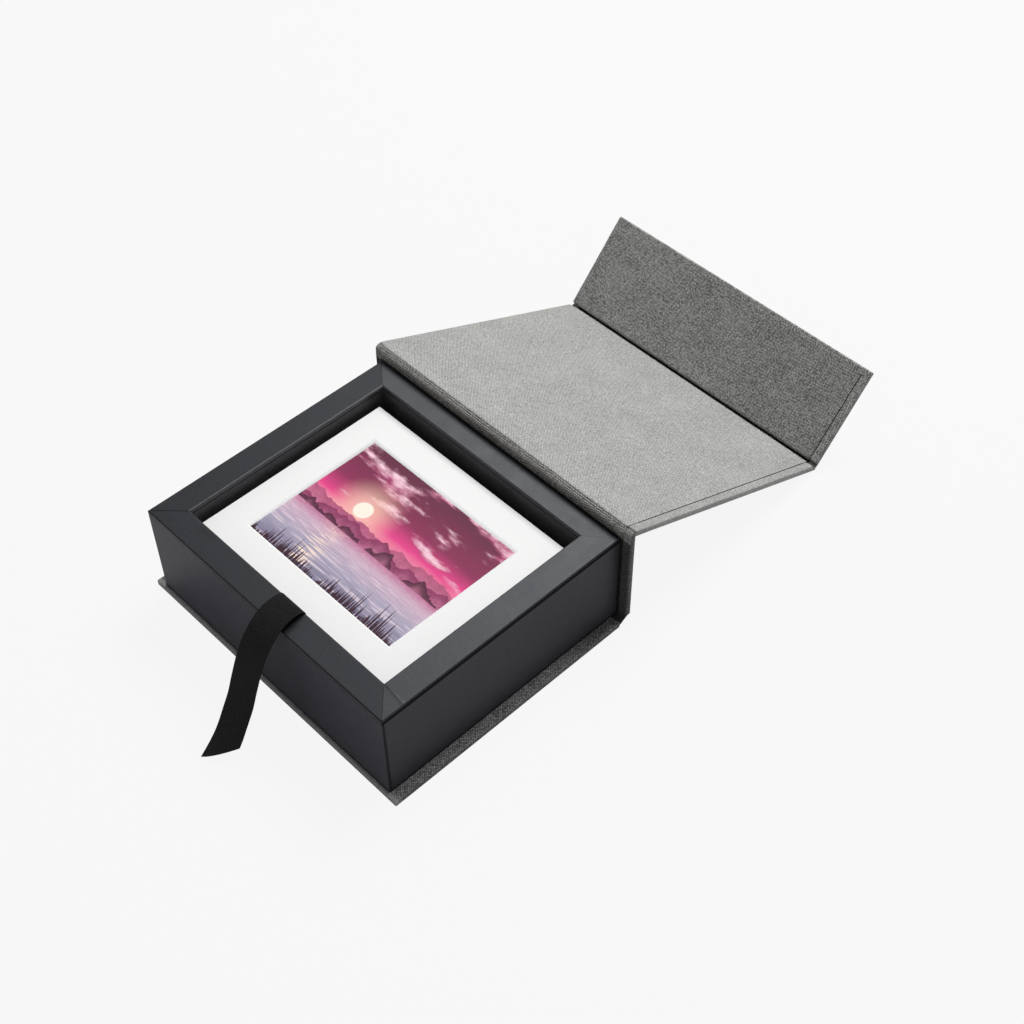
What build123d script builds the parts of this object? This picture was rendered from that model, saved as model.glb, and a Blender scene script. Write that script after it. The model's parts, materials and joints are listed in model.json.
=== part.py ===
from build123d import *
import os
from math import asin, cos, degrees, radians, sin

# Photo storage box: a cloth-covered case of four boards (base, spine, lid and flap) round a black
# paper-covered tray that holds a pile of matted prints, with a ribbon under the pile to lift it.
# Millimetres. +X is to the right along the front, +Y runs back to the spine, +Z is up. The origin
# is on the underside of the base, below the middle of the tray. The box is modelled open: the lid
# is folded back over the spine until its far edge rests on the table, and the flap stands up.

os.makedirs("parts", exist_ok=True)

# ---- driving dimensions ----------------------------------------------------------------------

# the case boards and what covers them
case_board = 3.0
cloth = 0.6
lining = 0.75
margin = 5.5                # cloth turned in over the inner face that the lining leaves in view
base_turn_in = 12.0         # on the base it runs on under the tray

# the tray
tray_width = 202.0
tray_depth = 176.0
tray_height = 66.8
rim_side = 17.5
rim_front = 17.0
rim_back = 14.5
wall_board = 2.0
rim_board = 3.0
rim_round = 1.0
paper = 0.3
rim_seam = 0.3              # where the rim's paper stops short of the wall's paper
well_setback = 0.5          # the inner walls stand back from the rim's inner edge
floor_card = 0.5

# how the case sits round the tray
side_overhang = 7.0
front_overhang = 2.0
spine_gap = 1.0
lid_gap = 0.6
flap_gap = 2.4              # closed, the flap hangs just in front of the base's edge
flap_foot = 4.3             # and its free edge stays this far above the table
joint_run = 8.5             # the bare cloth of a spine joint, along the base or the lid
joint_rise = 5.4            # and up the spine
flap_joint = 4.7            # the bare cloth of the flap's joint, on each side of its corner
flap_angle = 108.7          # inside angle between the lid and the flap as they stand open
crest_back = 1.7            # how far the lid's lining bulges past the fold line, open
crest_round = 2.0

# the closing magnets
magnet_radius = 5.0
magnet_thick = 1.5
magnet_x = 60.0
magnet_height = 25.0

# the lifting ribbon
ribbon_width = 19.05
ribbon_thick = 0.5
ribbon_left = 0.0
ribbon_end = 45.0           # where it is glued down on the tray's floor
ribbon_bend = 1.5
tail_skew = 6.8             # degrees, the way the tail points off the straight
tail_cut = 14.5             # how much further the tail's long edge reaches

# the matted prints
mat_width = 160.0
mat_depth = 136.5
window_width = 120.0
window_depth = 94.0
mat_thick = 1.5
print_width = 127.0
print_depth = 102.0
print_thick = 0.3
backing_thick = 1.75
pile_forward = 2.4          # the pile sits this far forward of the well's middle
loose_prints = 3            # modelled one by one, from the top
piled_prints = 12           # below them

# ---- sizes that follow -----------------------------------------------------------------------

case_thick = case_board + 2 * cloth
half_case = tray_width / 2 + side_overhang
half_board = half_case - cloth
half_lining = half_case - margin
half_base_lining = half_case - base_turn_in
half_tray_x = tray_width / 2
half_tray_y = tray_depth / 2
rim_top = case_thick + tray_height
rim_low = rim_top - paper - rim_board
well_x = half_tray_x - rim_side + well_setback
well_front = -half_tray_y + rim_front - well_setback
well_back = half_tray_y - rim_back + well_setback
pile_middle = well_front + (well_back - well_front) / 2 - pile_forward
floor_top = case_thick + wall_board
ribbon_top = floor_top + floor_card + ribbon_thick

base_front = -half_tray_y - front_overhang
spine_inner = half_tray_y + spine_gap
spine_outer = spine_inner + case_thick
base_back = spine_outer - joint_run
lid_top_closed = rim_top + lid_gap + case_thick
spine_top = lid_top_closed - joint_rise

# The two fold lines run along X, on the outer faces of the boards, where the cloth bends. Lengths
# on the lid and flap are measured from them.
flap_outer_closed = -half_tray_y - flap_gap - case_thick
fold_y = spine_outer - cloth
fold_z = lid_top_closed - cloth
fold_to_fold = fold_y - (flap_outer_closed + cloth)
lid_near = fold_y - base_back
lid_far = fold_to_fold - (flap_joint - cloth)
flap_near = flap_joint - cloth
flap_far = fold_z - flap_foot

# the lid leans until the cloth at the flap's fold is on the table
lid_lean = asin((fold_z - cloth) / fold_to_fold)
flap_rise = radians(180 - flap_angle) - lid_lean


def on_lid(along, above):
    """A point of the YZ plane, from its distance down the lid and its height over the fold line."""
    y = fold_y + along * cos(lid_lean) + above * sin(lid_lean)
    z = fold_z - along * sin(lid_lean) + above * cos(lid_lean)
    return y, z


flap_y, flap_z = on_lid(fold_to_fold, 0)


def on_flap(along, above):
    """A point of the YZ plane, from its distance up the flap and its height over the fold line."""
    y = flap_y + along * cos(flap_rise) - above * sin(flap_rise)
    z = flap_z + along * sin(flap_rise) + above * cos(flap_rise)
    return y, z


lid_plane = Plane(origin=(0, fold_y, fold_z), x_dir=(1, 0, 0), z_dir=(0, sin(lid_lean), cos(lid_lean)))
flap_plane = Plane(origin=(0, flap_y, flap_z), x_dir=(1, 0, 0), z_dir=(0, -sin(flap_rise), cos(flap_rise)))

# layers of the case, measured from the fold line's level
outer_face = -cloth
board_low = 0
board_high = board_low + case_board
inner_face = board_high + cloth
middle_of_lining = board_high + lining / 2

pieces = {}


def sheet_on(plane, level, half_width, start, end, thickness):
    """A flat rectangular piece on a board's plane, from start to end along it."""
    with BuildPart() as piece:
        with BuildSketch(plane.offset(level)):
            with Locations((0, (start + end) / 2)):
                Rectangle(2 * half_width, end - start)
        extrude(amount=thickness)
    return piece


def block(x_low, x_high, y_low, y_high, z_low, z_high):
    """A plain board, cut square."""
    with BuildPart() as piece:
        with BuildSketch(Plane.XY.offset(z_low)):
            with Locations(((x_low + x_high) / 2, (y_low + y_high) / 2)):
                Rectangle(x_high - x_low, y_high - y_low)
        extrude(amount=z_high - z_low)
    return piece


# ---- case: base --------------------------------------------------------------------------------

base_board = block(-half_board, half_board, base_front + cloth, base_back, cloth, cloth + case_board)
pieces["base_board"] = base_board

# the cloth wraps the underside and three edges, and turns in over the top
with BuildPart() as base_cover_cloth:
    with BuildSketch(Plane.XY):
        with Locations((0, (base_front + base_back) / 2)):
            Rectangle(2 * half_case, base_back - base_front)
    extrude(amount=case_thick)
    with BuildSketch(Plane.XY.offset(cloth)):
        with Locations((0, (base_front + cloth + base_back) / 2)):
            Rectangle(2 * half_board, base_back - base_front - cloth)
    extrude(amount=case_board, mode=Mode.SUBTRACT)
    with BuildSketch(Plane.XY.offset(cloth + case_board)):
        with Locations((0, (base_front + base_turn_in + base_back) / 2)):
            Rectangle(2 * half_base_lining, base_back - base_front - base_turn_in)
    extrude(amount=cloth, mode=Mode.SUBTRACT)
pieces["base_cover_cloth"] = base_cover_cloth

base_lining = block(-half_base_lining, half_base_lining, base_front + base_turn_in, base_back,
                    cloth + case_board, case_thick)
pieces["base_lining"] = base_lining

# ---- case: spine -------------------------------------------------------------------------------

spine_plane = Plane(origin=(0, spine_outer, 0), x_dir=(1, 0, 0), z_dir=(0, -1, 0))

spine_board = block(-half_board, half_board, spine_outer - cloth - case_board, spine_outer - cloth,
                    joint_rise, spine_top)
pieces["spine_board"] = spine_board

# the same cloth goes on from the base across the lower joint and up the spine
with BuildPart() as spine_cover_cloth:
    with BuildSketch(Plane.YZ.offset(-half_case)):
        Polygon((base_back, 0), (spine_outer, joint_rise), (spine_outer, spine_top),
                (spine_inner, spine_top), (spine_inner, joint_rise), (base_back, case_thick), align=None)
    extrude(amount=2 * half_case)
    with BuildSketch(Plane.YZ.offset(-half_board)):
        Polygon((base_back, cloth), (spine_outer - cloth, joint_rise), (spine_outer - cloth, spine_top),
                (spine_inner + cloth, spine_top), (spine_inner + cloth, joint_rise),
                (base_back, case_thick - cloth), align=None)
    extrude(amount=2 * half_board, mode=Mode.SUBTRACT)
    with BuildSketch(Plane.YZ.offset(-half_lining)):
        Polygon((base_back, case_thick - cloth), (spine_inner + cloth, joint_rise),
                (spine_inner + cloth, spine_top), (spine_inner, spine_top), (spine_inner, joint_rise),
                (base_back, case_thick), align=None)
    extrude(amount=2 * half_lining, mode=Mode.SUBTRACT)
pieces["spine_cover_cloth"] = spine_cover_cloth

spine_lining = block(-half_lining, half_lining, spine_inner + cloth - lining, spine_inner + cloth,
                     joint_rise, spine_top)
pieces["spine_lining"] = spine_lining

# ---- case: lid and its joint with the spine ------------------------------------------------------

lid_board = sheet_on(lid_plane, board_low, half_board, lid_near, lid_far, case_board)
pieces["lid_board"] = lid_board

with BuildPart() as lid_cover_cloth:
    with BuildSketch(lid_plane.offset(outer_face)):
        with Locations((0, (lid_near + lid_far) / 2)):
            Rectangle(2 * half_case, lid_far - lid_near)
    extrude(amount=case_thick)
    with BuildSketch(lid_plane.offset(board_low)):
        with Locations((0, (lid_near + lid_far) / 2)):
            Rectangle(2 * half_board, lid_far - lid_near)
    extrude(amount=case_board, mode=Mode.SUBTRACT)
    with BuildSketch(lid_plane.offset(board_high)):
        with Locations((0, (lid_near + lid_far) / 2)):
            Rectangle(2 * half_lining, lid_far - lid_near)
    extrude(amount=cloth, mode=Mode.SUBTRACT)
pieces["lid_cover_cloth"] = lid_cover_cloth

lid_lining = sheet_on(lid_plane, board_high, half_lining, lid_near, lid_far, lining)
pieces["lid_lining"] = lid_lining

# The joint is cloth and lining alone. The cloth folds into a crease where the backs of the spine
# and the lid meet, and at each end it is doubled over, as thick as the boards.
crest = on_lid(-crest_back, inner_face)
crease_along = (cloth - outer_face * sin(lid_lean)) / cos(lid_lean)
crease = on_lid(crease_along, outer_face)
crease_inner = (spine_outer - cloth, on_lid(crease_along, board_low)[1])

with BuildPart() as lid_hinge_cloth:
    with BuildSketch(Plane.YZ.offset(-half_case)):
        Polygon((spine_outer, spine_top), crease, on_lid(lid_near, outer_face),
                on_lid(lid_near, board_low), crease_inner, (spine_outer - cloth, spine_top), align=None)
    extrude(amount=2 * half_case)
    for end in (-half_case, half_lining):
        with BuildSketch(Plane.YZ.offset(end)):
            Polygon((spine_outer, spine_top), crease, on_lid(lid_near, outer_face),
                    on_lid(lid_near, inner_face), crest, (spine_inner, spine_top), align=None)
        extrude(amount=half_case - half_lining)
pieces["lid_hinge_cloth"] = lid_hinge_cloth

with BuildPart() as lid_hinge_lining:
    with BuildSketch(Plane.YZ.offset(-half_lining)):
        with BuildLine() as over_the_joint:
            FilletPolyline((spine_inner + cloth - lining / 2, spine_top),
                           (spine_inner + cloth - lining / 2, spine_top + lining),
                           on_lid(-crest_back, middle_of_lining),
                           on_lid(lid_near, middle_of_lining), radius=crest_round)
        trace(over_the_joint.line, line_width=lining)
    extrude(amount=2 * half_lining)
pieces["lid_hinge_lining"] = lid_hinge_lining

# ---- case: flap and its joint with the lid -------------------------------------------------------

magnet_along = fold_z - magnet_height
magnet_spots = ((-magnet_x, magnet_along), (magnet_x, magnet_along))

with BuildPart() as flap_board:
    with BuildSketch(flap_plane.offset(board_low)):
        with Locations((0, (flap_near + flap_far - cloth) / 2)):
            Rectangle(2 * half_board, flap_far - cloth - flap_near)
    extrude(amount=case_board)
    with BuildSketch(flap_plane.offset(board_high - magnet_thick)):
        with Locations(*magnet_spots):
            Circle(magnet_radius)
    extrude(amount=magnet_thick, mode=Mode.SUBTRACT)
pieces["flap_board"] = flap_board

with BuildPart() as flap_magnets:
    with BuildSketch(flap_plane.offset(board_high - magnet_thick)):
        with Locations(*magnet_spots):
            Circle(magnet_radius)
    extrude(amount=magnet_thick)
pieces["flap_magnets"] = flap_magnets

with BuildPart() as flap_cover_cloth:
    with BuildSketch(flap_plane.offset(outer_face)):
        with Locations((0, (flap_near + flap_far) / 2)):
            Rectangle(2 * half_case, flap_far - flap_near)
    extrude(amount=case_thick)
    with BuildSketch(flap_plane.offset(board_low)):
        with Locations((0, (flap_near + flap_far - cloth) / 2)):
            Rectangle(2 * half_board, flap_far - cloth - flap_near)
    extrude(amount=case_board, mode=Mode.SUBTRACT)
    with BuildSketch(flap_plane.offset(board_high)):
        with Locations((0, (flap_near + flap_far - margin) / 2)):
            Rectangle(2 * half_lining, flap_far - margin - flap_near)
    extrude(amount=cloth, mode=Mode.SUBTRACT)
pieces["flap_cover_cloth"] = flap_cover_cloth

flap_lining = sheet_on(flap_plane, board_high, half_lining, flap_near, flap_far - margin, lining)
pieces["flap_lining"] = flap_lining

# cloth round the outside of the corner, and lining pressed down into the groove inside it
groove_drop = case_board - cloth
groove_step = 0.5
groove_round = 0.4

with BuildPart() as flap_hinge_cloth:
    with BuildSketch(Plane.YZ.offset(-half_case)):
        Polygon(on_lid(lid_far, outer_face), on_lid(fold_to_fold, outer_face),
                on_flap(0, outer_face), on_flap(flap_near, outer_face),
                on_flap(flap_near, board_low), (flap_y, flap_z), on_lid(lid_far, board_low), align=None)
    extrude(amount=2 * half_case)
    for end in (-half_case, half_lining):
        with BuildSketch(Plane.YZ.offset(end)):
            Polygon(on_lid(lid_far, outer_face), on_lid(fold_to_fold, outer_face),
                    on_flap(0, outer_face), on_flap(flap_near, outer_face),
                    on_flap(flap_near, inner_face), on_lid(lid_far, inner_face), align=None)
        extrude(amount=half_case - half_lining)
pieces["flap_hinge_cloth"] = flap_hinge_cloth

with BuildPart() as flap_hinge_lining:
    with BuildSketch(Plane.YZ.offset(-half_lining)):
        with BuildLine() as into_the_groove:
            FilletPolyline(on_lid(lid_far, middle_of_lining),
                           on_lid(lid_far + groove_step, middle_of_lining),
                           on_lid(lid_far + groove_step, middle_of_lining - groove_drop),
                           on_flap(flap_near - groove_step, middle_of_lining - groove_drop),
                           on_flap(flap_near - groove_step, middle_of_lining),
                           on_flap(flap_near, middle_of_lining), radius=groove_round)
        trace(into_the_groove.line, line_width=lining)
    extrude(amount=2 * half_lining)
pieces["flap_hinge_lining"] = flap_hinge_lining

# ---- tray: floor and walls -----------------------------------------------------------------------

wall_x = half_tray_x - paper
wall_y = half_tray_y - paper

tray_floor_board = block(wall_board - wall_x, wall_x - wall_board, wall_board - wall_y,
                         wall_y - wall_board, case_thick, floor_top)
pieces["tray_floor_board"] = tray_floor_board

# the front wall is pocketed for the magnets
with BuildPart() as outer_wall_front:
    with BuildSketch(Plane.XY.offset(case_thick)):
        with Locations((0, wall_board / 2 - wall_y)):
            Rectangle(2 * wall_x, wall_board)
    extrude(amount=rim_low - case_thick)
    with BuildSketch(Plane.XZ.offset(wall_y - magnet_thick)):
        with Locations((-magnet_x, magnet_height), (magnet_x, magnet_height)):
            Circle(magnet_radius)
    extrude(amount=magnet_thick, mode=Mode.SUBTRACT)
pieces["outer_wall_front"] = outer_wall_front

with BuildPart() as front_wall_magnets:
    with BuildSketch(Plane.XZ.offset(wall_y - magnet_thick)):
        with Locations((-magnet_x, magnet_height), (magnet_x, magnet_height)):
            Circle(magnet_radius)
    extrude(amount=magnet_thick)
pieces["front_wall_magnets"] = front_wall_magnets

pieces["outer_wall_back"] = block(-wall_x, wall_x, wall_y - wall_board, wall_y, case_thick, rim_low)
pieces["outer_wall_left"] = block(-wall_x, wall_board - wall_x, wall_board - wall_y,
                                  wall_y - wall_board, case_thick, rim_low)
pieces["outer_wall_right"] = block(wall_x - wall_board, wall_x, wall_board - wall_y,
                                   wall_y - wall_board, case_thick, rim_low)

inner_x = well_x + paper
inner_front = well_front - paper
inner_back = well_back + paper
pieces["inner_wall_front"] = block(-inner_x - wall_board, inner_x + wall_board,
                                   inner_front - wall_board, inner_front, floor_top, rim_low)
pieces["inner_wall_back"] = block(-inner_x - wall_board, inner_x + wall_board,
                                  inner_back, inner_back + wall_board, floor_top, rim_low)
pieces["inner_wall_left"] = block(-inner_x - wall_board, -inner_x, inner_front, inner_back,
                                  floor_top, rim_low)
pieces["inner_wall_right"] = block(inner_x, inner_x + wall_board, inner_front, inner_back,
                                   floor_top, rim_low)

# ---- tray: mitred rim ----------------------------------------------------------------------------

# each side of the rim is drawn across its width, drawn out along the side, and cut to its mitres
outer_corners = [(-half_tray_x, -half_tray_y), (half_tray_x, -half_tray_y),
                 (half_tray_x, half_tray_y), (-half_tray_x, half_tray_y)]
rim_x = half_tray_x - rim_side
inner_corners = [(-rim_x, -half_tray_y + rim_front), (rim_x, -half_tray_y + rim_front),
                 (rim_x, half_tray_y - rim_back), (-rim_x, half_tray_y - rim_back)]
rim_sides = {
    "front": (0, rim_front, Plane(origin=(0, -half_tray_y, rim_low), x_dir=(0, 1, 0), z_dir=(1, 0, 0))),
    "right": (1, rim_side, Plane(origin=(half_tray_x, 0, rim_low), x_dir=(-1, 0, 0), z_dir=(0, 1, 0))),
    "back": (2, rim_back, Plane(origin=(0, half_tray_y, rim_low), x_dir=(0, -1, 0), z_dir=(-1, 0, 0))),
    "left": (3, rim_side, Plane(origin=(-half_tray_x, 0, rim_low), x_dir=(1, 0, 0), z_dir=(0, -1, 0))),
}

for side, (first, width, across) in rim_sides.items():
    second = (first + 1) % len(outer_corners)
    with BuildSketch(Plane.XY.offset(rim_low)) as mitred:
        Polygon(outer_corners[first], outer_corners[second], inner_corners[second],
                inner_corners[first], align=None)
    with BuildPart() as board_side:
        with BuildSketch(across):
            with Locations((paper, 0)):
                Rectangle(width - 2 * paper, rim_board, align=(Align.MIN, Align.MIN))
            fillet(vertices().group_by(Axis.Y)[-1], rim_round - paper)
        extrude(amount=half_tray_x, both=True)
        extrude(mitred.sketch, amount=rim_board + paper, mode=Mode.INTERSECT)
    with BuildPart() as paper_side:
        with BuildSketch(across):
            Rectangle(width, rim_board + paper, align=(Align.MIN, Align.MIN))
            fillet(vertices().group_by(Axis.Y)[-1], rim_round)
        extrude(amount=half_tray_x, both=True)
        with BuildSketch(across):
            with Locations((paper, 0)):
                Rectangle(width - 2 * paper, rim_board, align=(Align.MIN, Align.MIN))
            fillet(vertices().group_by(Axis.Y)[-1], rim_round - paper)
        extrude(amount=half_tray_x, both=True, mode=Mode.SUBTRACT)
        extrude(mitred.sketch, amount=rim_board + paper, mode=Mode.INTERSECT)
    pieces["rim_board_" + side] = board_side
    pieces["rim_paper_" + side] = paper_side

# ---- tray: papers --------------------------------------------------------------------------------

with BuildPart() as outer_wall_paper:
    with BuildSketch(Plane.XY.offset(case_thick)):
        Rectangle(2 * half_tray_x, 2 * half_tray_y)
        Rectangle(2 * wall_x, 2 * wall_y, mode=Mode.SUBTRACT)
    extrude(amount=rim_low - rim_seam - case_thick)
pieces["outer_wall_paper"] = outer_wall_paper

with BuildPart() as well_lining:
    with BuildSketch(Plane.XY.offset(floor_top)):
        with Locations((0, (well_front + well_back) / 2)):
            Rectangle(2 * inner_x, inner_back - inner_front)
            Rectangle(2 * well_x, well_back - well_front, mode=Mode.SUBTRACT)
    extrude(amount=rim_low - floor_top)
pieces["well_lining"] = well_lining

floor_lining = block(-well_x, well_x, well_front, well_back, floor_top, floor_top + floor_card)
pieces["floor_lining"] = floor_lining

# ---- lifting ribbon ------------------------------------------------------------------------------

rim_edge = -half_tray_y + rim_front

# glued to the floor, it runs forward under the pile and up inside the front wall
with BuildPart() as ribbon_lift:
    with BuildSketch(Plane.YZ.offset(ribbon_left)):
        with BuildLine() as under_the_pile:
            FilletPolyline((ribbon_end, ribbon_top - ribbon_thick / 2),
                           (rim_edge + ribbon_thick / 2, ribbon_top - ribbon_thick / 2),
                           (rim_edge + ribbon_thick / 2, rim_top), radius=ribbon_bend)
        trace(under_the_pile.line, line_width=ribbon_thick)
    extrude(amount=ribbon_width)
pieces["ribbon_lift"] = ribbon_lift

# it springs over the rim and curves down to the table, where its slanted end touches
tail_out = (sin(radians(tail_skew)), -cos(radians(tail_skew)), 0)
tail_across = (cos(radians(tail_skew)), sin(radians(tail_skew)), 0)
tail_start = (ribbon_left, rim_edge, 0)
tail_plane = Plane(origin=tail_start, x_dir=tail_out, z_dir=[-step for step in tail_across])
tail_floor = Plane(origin=tail_start, x_dir=tail_across, z_dir=(0, 0, 1))
tail_points = [(0, rim_top + ribbon_thick / 2), (6, 74.6), (12, 75.4), (18, 74.8), (26, 70.5),
               (33, 64.5), (39, 55), (44, 43.5), (50, 30.5), (58, 17.5), (66, 8.5), (75.5, 0.8)]
tail_tip = tail_points[-1][0]

with BuildPart() as ribbon_tail:
    with BuildSketch(tail_plane):
        with BuildLine() as down_the_front:
            Spline(*tail_points)
        trace(down_the_front.line, line_width=ribbon_thick)
    extrude(amount=-ribbon_width)
    with BuildSketch(tail_floor):
        Polygon((0, -tail_tip), (ribbon_width, tail_cut - tail_tip),
                (2 * ribbon_width, tail_cut - tail_tip), (2 * ribbon_width, -2 * tail_tip),
                (0, -2 * tail_tip), align=None)
    extrude(amount=rim_top, mode=Mode.SUBTRACT)
pieces["ribbon_tail"] = ribbon_tail

# ---- matted prints -------------------------------------------------------------------------------

pitch = backing_thick + print_thick + mat_thick
levels = [ribbon_top + pitch * number for number in range(piled_prints + loose_prints)]
piled_levels = levels[:piled_prints]
loose_levels = levels[piled_prints:]


def backing_boards(heights):
    """The card behind each print."""
    with BuildPart() as boards:
        for height in heights:
            with BuildSketch(Plane.XY.offset(height)):
                with Locations((0, pile_middle)):
                    Rectangle(mat_width, mat_depth)
            extrude(amount=backing_thick)
    return boards


def photo_prints(heights):
    """The prints, a little larger than the windows that they show through."""
    with BuildPart() as prints:
        for height in heights:
            with BuildSketch(Plane.XY.offset(height + backing_thick)):
                with Locations((0, pile_middle)):
                    Rectangle(print_width, print_depth)
            extrude(amount=print_thick)
    return prints


def window_mats(heights):
    """The mats, with windows cut at a bevel that opens upwards."""
    with BuildPart() as mats:
        for height in heights:
            low = height + backing_thick + print_thick
            with BuildSketch(Plane.XY.offset(low)):
                with Locations((0, pile_middle)):
                    Rectangle(mat_width, mat_depth)
            extrude(amount=mat_thick)
            with BuildSketch(Plane.XY.offset(low)):
                with Locations((0, pile_middle)):
                    Rectangle(window_width, window_depth)
            with BuildSketch(Plane.XY.offset(low + mat_thick)):
                with Locations((0, pile_middle)):
                    Rectangle(window_width + 2 * mat_thick, window_depth + 2 * mat_thick)
            loft(mode=Mode.SUBTRACT)
    return mats


pieces["pile_backing_boards"] = backing_boards(piled_levels)
pieces["pile_photo_prints"] = photo_prints(piled_levels)
pieces["pile_window_mats"] = window_mats(piled_levels)
for number, level in enumerate(reversed(loose_levels), start=1):
    pieces[f"backing_board_{number}"] = backing_boards([level])
    pieces[f"photo_print_{number}"] = photo_prints([level])
    pieces[f"window_mat_{number}"] = window_mats([level])

# ---- write the pieces ----------------------------------------------------------------------------

for name, piece in pieces.items():
    piece.part.label = name
    export_step(piece.part, f"parts/{name}.step")

print("pieces", len(pieces))
print("lid fold line y, z", round(fold_y, 3), round(fold_z, 3))
print("flap fold line y, z", round(flap_y, 3), round(flap_z, 3))
print("lid leans", round(degrees(lid_lean), 3), "flap rises", round(degrees(flap_rise), 3))
print("top print", round(levels[-1] + pitch, 3), "rim", round(rim_top, 3))
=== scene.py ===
# %% [markdown]
# A photo storage box stands open on a table. Grey linen book cloth wraps four boards, a base, a spine, a
# lid and a flap, and a deep black tray holds a pile of matted prints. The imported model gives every
# board its place. This lesson dresses it: cloth with rounded edges, turned-in margins, soft joints,
# a ribbon and finishes. Lengths are in metres, and most sizes are written in millimetres times mm.

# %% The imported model
import json
from math import atan2, cos, degrees, hypot, pi, radians, sin, tan

import bpy
from mathutils import Matrix, Vector


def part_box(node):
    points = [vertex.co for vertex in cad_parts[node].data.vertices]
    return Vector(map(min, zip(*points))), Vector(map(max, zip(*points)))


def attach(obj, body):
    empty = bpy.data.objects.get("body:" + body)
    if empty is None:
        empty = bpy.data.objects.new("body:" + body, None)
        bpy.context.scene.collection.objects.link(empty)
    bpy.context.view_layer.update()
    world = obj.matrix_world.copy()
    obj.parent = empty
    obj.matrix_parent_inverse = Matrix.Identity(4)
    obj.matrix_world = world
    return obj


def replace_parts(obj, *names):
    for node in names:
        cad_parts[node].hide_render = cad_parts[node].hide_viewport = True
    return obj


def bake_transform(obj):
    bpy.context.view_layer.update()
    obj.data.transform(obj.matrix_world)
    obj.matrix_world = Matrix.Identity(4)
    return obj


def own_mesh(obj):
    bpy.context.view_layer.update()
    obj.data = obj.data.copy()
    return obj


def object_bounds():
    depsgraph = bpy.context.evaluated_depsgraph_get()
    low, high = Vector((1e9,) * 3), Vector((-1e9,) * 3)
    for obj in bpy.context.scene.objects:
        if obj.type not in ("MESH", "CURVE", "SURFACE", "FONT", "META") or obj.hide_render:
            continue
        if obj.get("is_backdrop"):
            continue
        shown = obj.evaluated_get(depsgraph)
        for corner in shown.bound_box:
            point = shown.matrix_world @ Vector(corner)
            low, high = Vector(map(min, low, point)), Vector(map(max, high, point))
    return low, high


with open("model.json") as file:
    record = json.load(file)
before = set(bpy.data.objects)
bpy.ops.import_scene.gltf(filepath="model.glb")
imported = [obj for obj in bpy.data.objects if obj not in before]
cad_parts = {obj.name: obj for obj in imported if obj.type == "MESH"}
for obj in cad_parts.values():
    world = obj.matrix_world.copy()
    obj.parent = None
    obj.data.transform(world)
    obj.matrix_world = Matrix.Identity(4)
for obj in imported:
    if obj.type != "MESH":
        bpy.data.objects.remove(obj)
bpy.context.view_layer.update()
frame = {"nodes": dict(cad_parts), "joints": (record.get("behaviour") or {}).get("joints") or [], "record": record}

mm = 0.001

# %% [markdown]
# The lid and the flap turn on two fold lines that run along X. Their places come from the joints,
# and the lid's slope is the line from one fold to the other. Two functions turn a distance along the
# lid or flap and a height over its fold line into a point of the YZ plane, so that every sheet of
# cloth is drawn in the terms of the board that it covers.

# %% Fold lines
joints = {joint["name"]: joint for joint in frame["joints"]}
fold_y, fold_z = joints["lid_hinge"]["pos_m"][1:]
flap_y, flap_z = joints["flap_hinge"]["pos_m"][1:]
lean = atan2(fold_z - flap_z, flap_y - fold_y)
opening = radians(108.7)
rise = pi - opening - lean
fold_to_fold = hypot(flap_y - fold_y, flap_z - fold_z)


def on_lid(along, above):
    """A point of the YZ plane, from its distance down the lid and its height over the fold line."""
    return (fold_y + along * cos(lean) + above * sin(lean),
            fold_z - along * sin(lean) + above * cos(lean))


def on_flap(along, above):
    """A point of the YZ plane, from its distance up the flap and its height over the fold line."""
    return (flap_y + along * cos(rise) - above * sin(rise),
            flap_z + along * sin(rise) + above * cos(rise))


print("lid leans", round(degrees(lean), 2), "flap rises", round(degrees(rise), 2))

# %% [markdown]
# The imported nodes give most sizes: the case's width comes from the base's cloth, the tray's from its
# outer paper, and the spine's height from its board. The others are those of the stock, such as a
# 3 mm board in 0.6 mm cloth. They have names, so that a piece can be made to fit its neighbours.

# %% Sizes of the case and the tray
cloth = 0.6 * mm
board = 3.0 * mm
thick = board + 2 * cloth
half_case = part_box("base_cover_cloth")[1].x
half_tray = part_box("outer_wall_paper")[1].x
tray_front, tray_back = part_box("outer_wall_paper")[0].y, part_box("outer_wall_paper")[1].y
rim_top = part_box("rim_paper_front")[1].z
margin = 5.5 * mm
half_lining = half_case - margin
base_front, base_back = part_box("base_cover_cloth")[0].y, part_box("base_board")[1].y
spine_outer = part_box("spine_cover_cloth")[1].y
spine_inner = spine_outer - thick
spine_low, spine_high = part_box("spine_board")[0].z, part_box("spine_board")[1].z
spine_joint, flap_joint, flap_foot = 7.9 * mm, 4.1 * mm, 4.3 * mm
lid_near, lid_far = spine_joint, fold_to_fold - flap_joint
flap_near, flap_far = flap_joint, fold_z - flap_foot
outer_face, inner_face = -cloth, board + cloth
print("case", round(2 * half_case / mm), "mm wide, rim at", round(rim_top / mm, 1), "mm")

# %% [markdown]
# The camera looks down at the box from the front right, at the angle that shows the tray, the lid
# and the flap together. Its own axes are worked out from its heading, its tilt and a small roll, so
# that nothing has to be pointed by eye.

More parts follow.
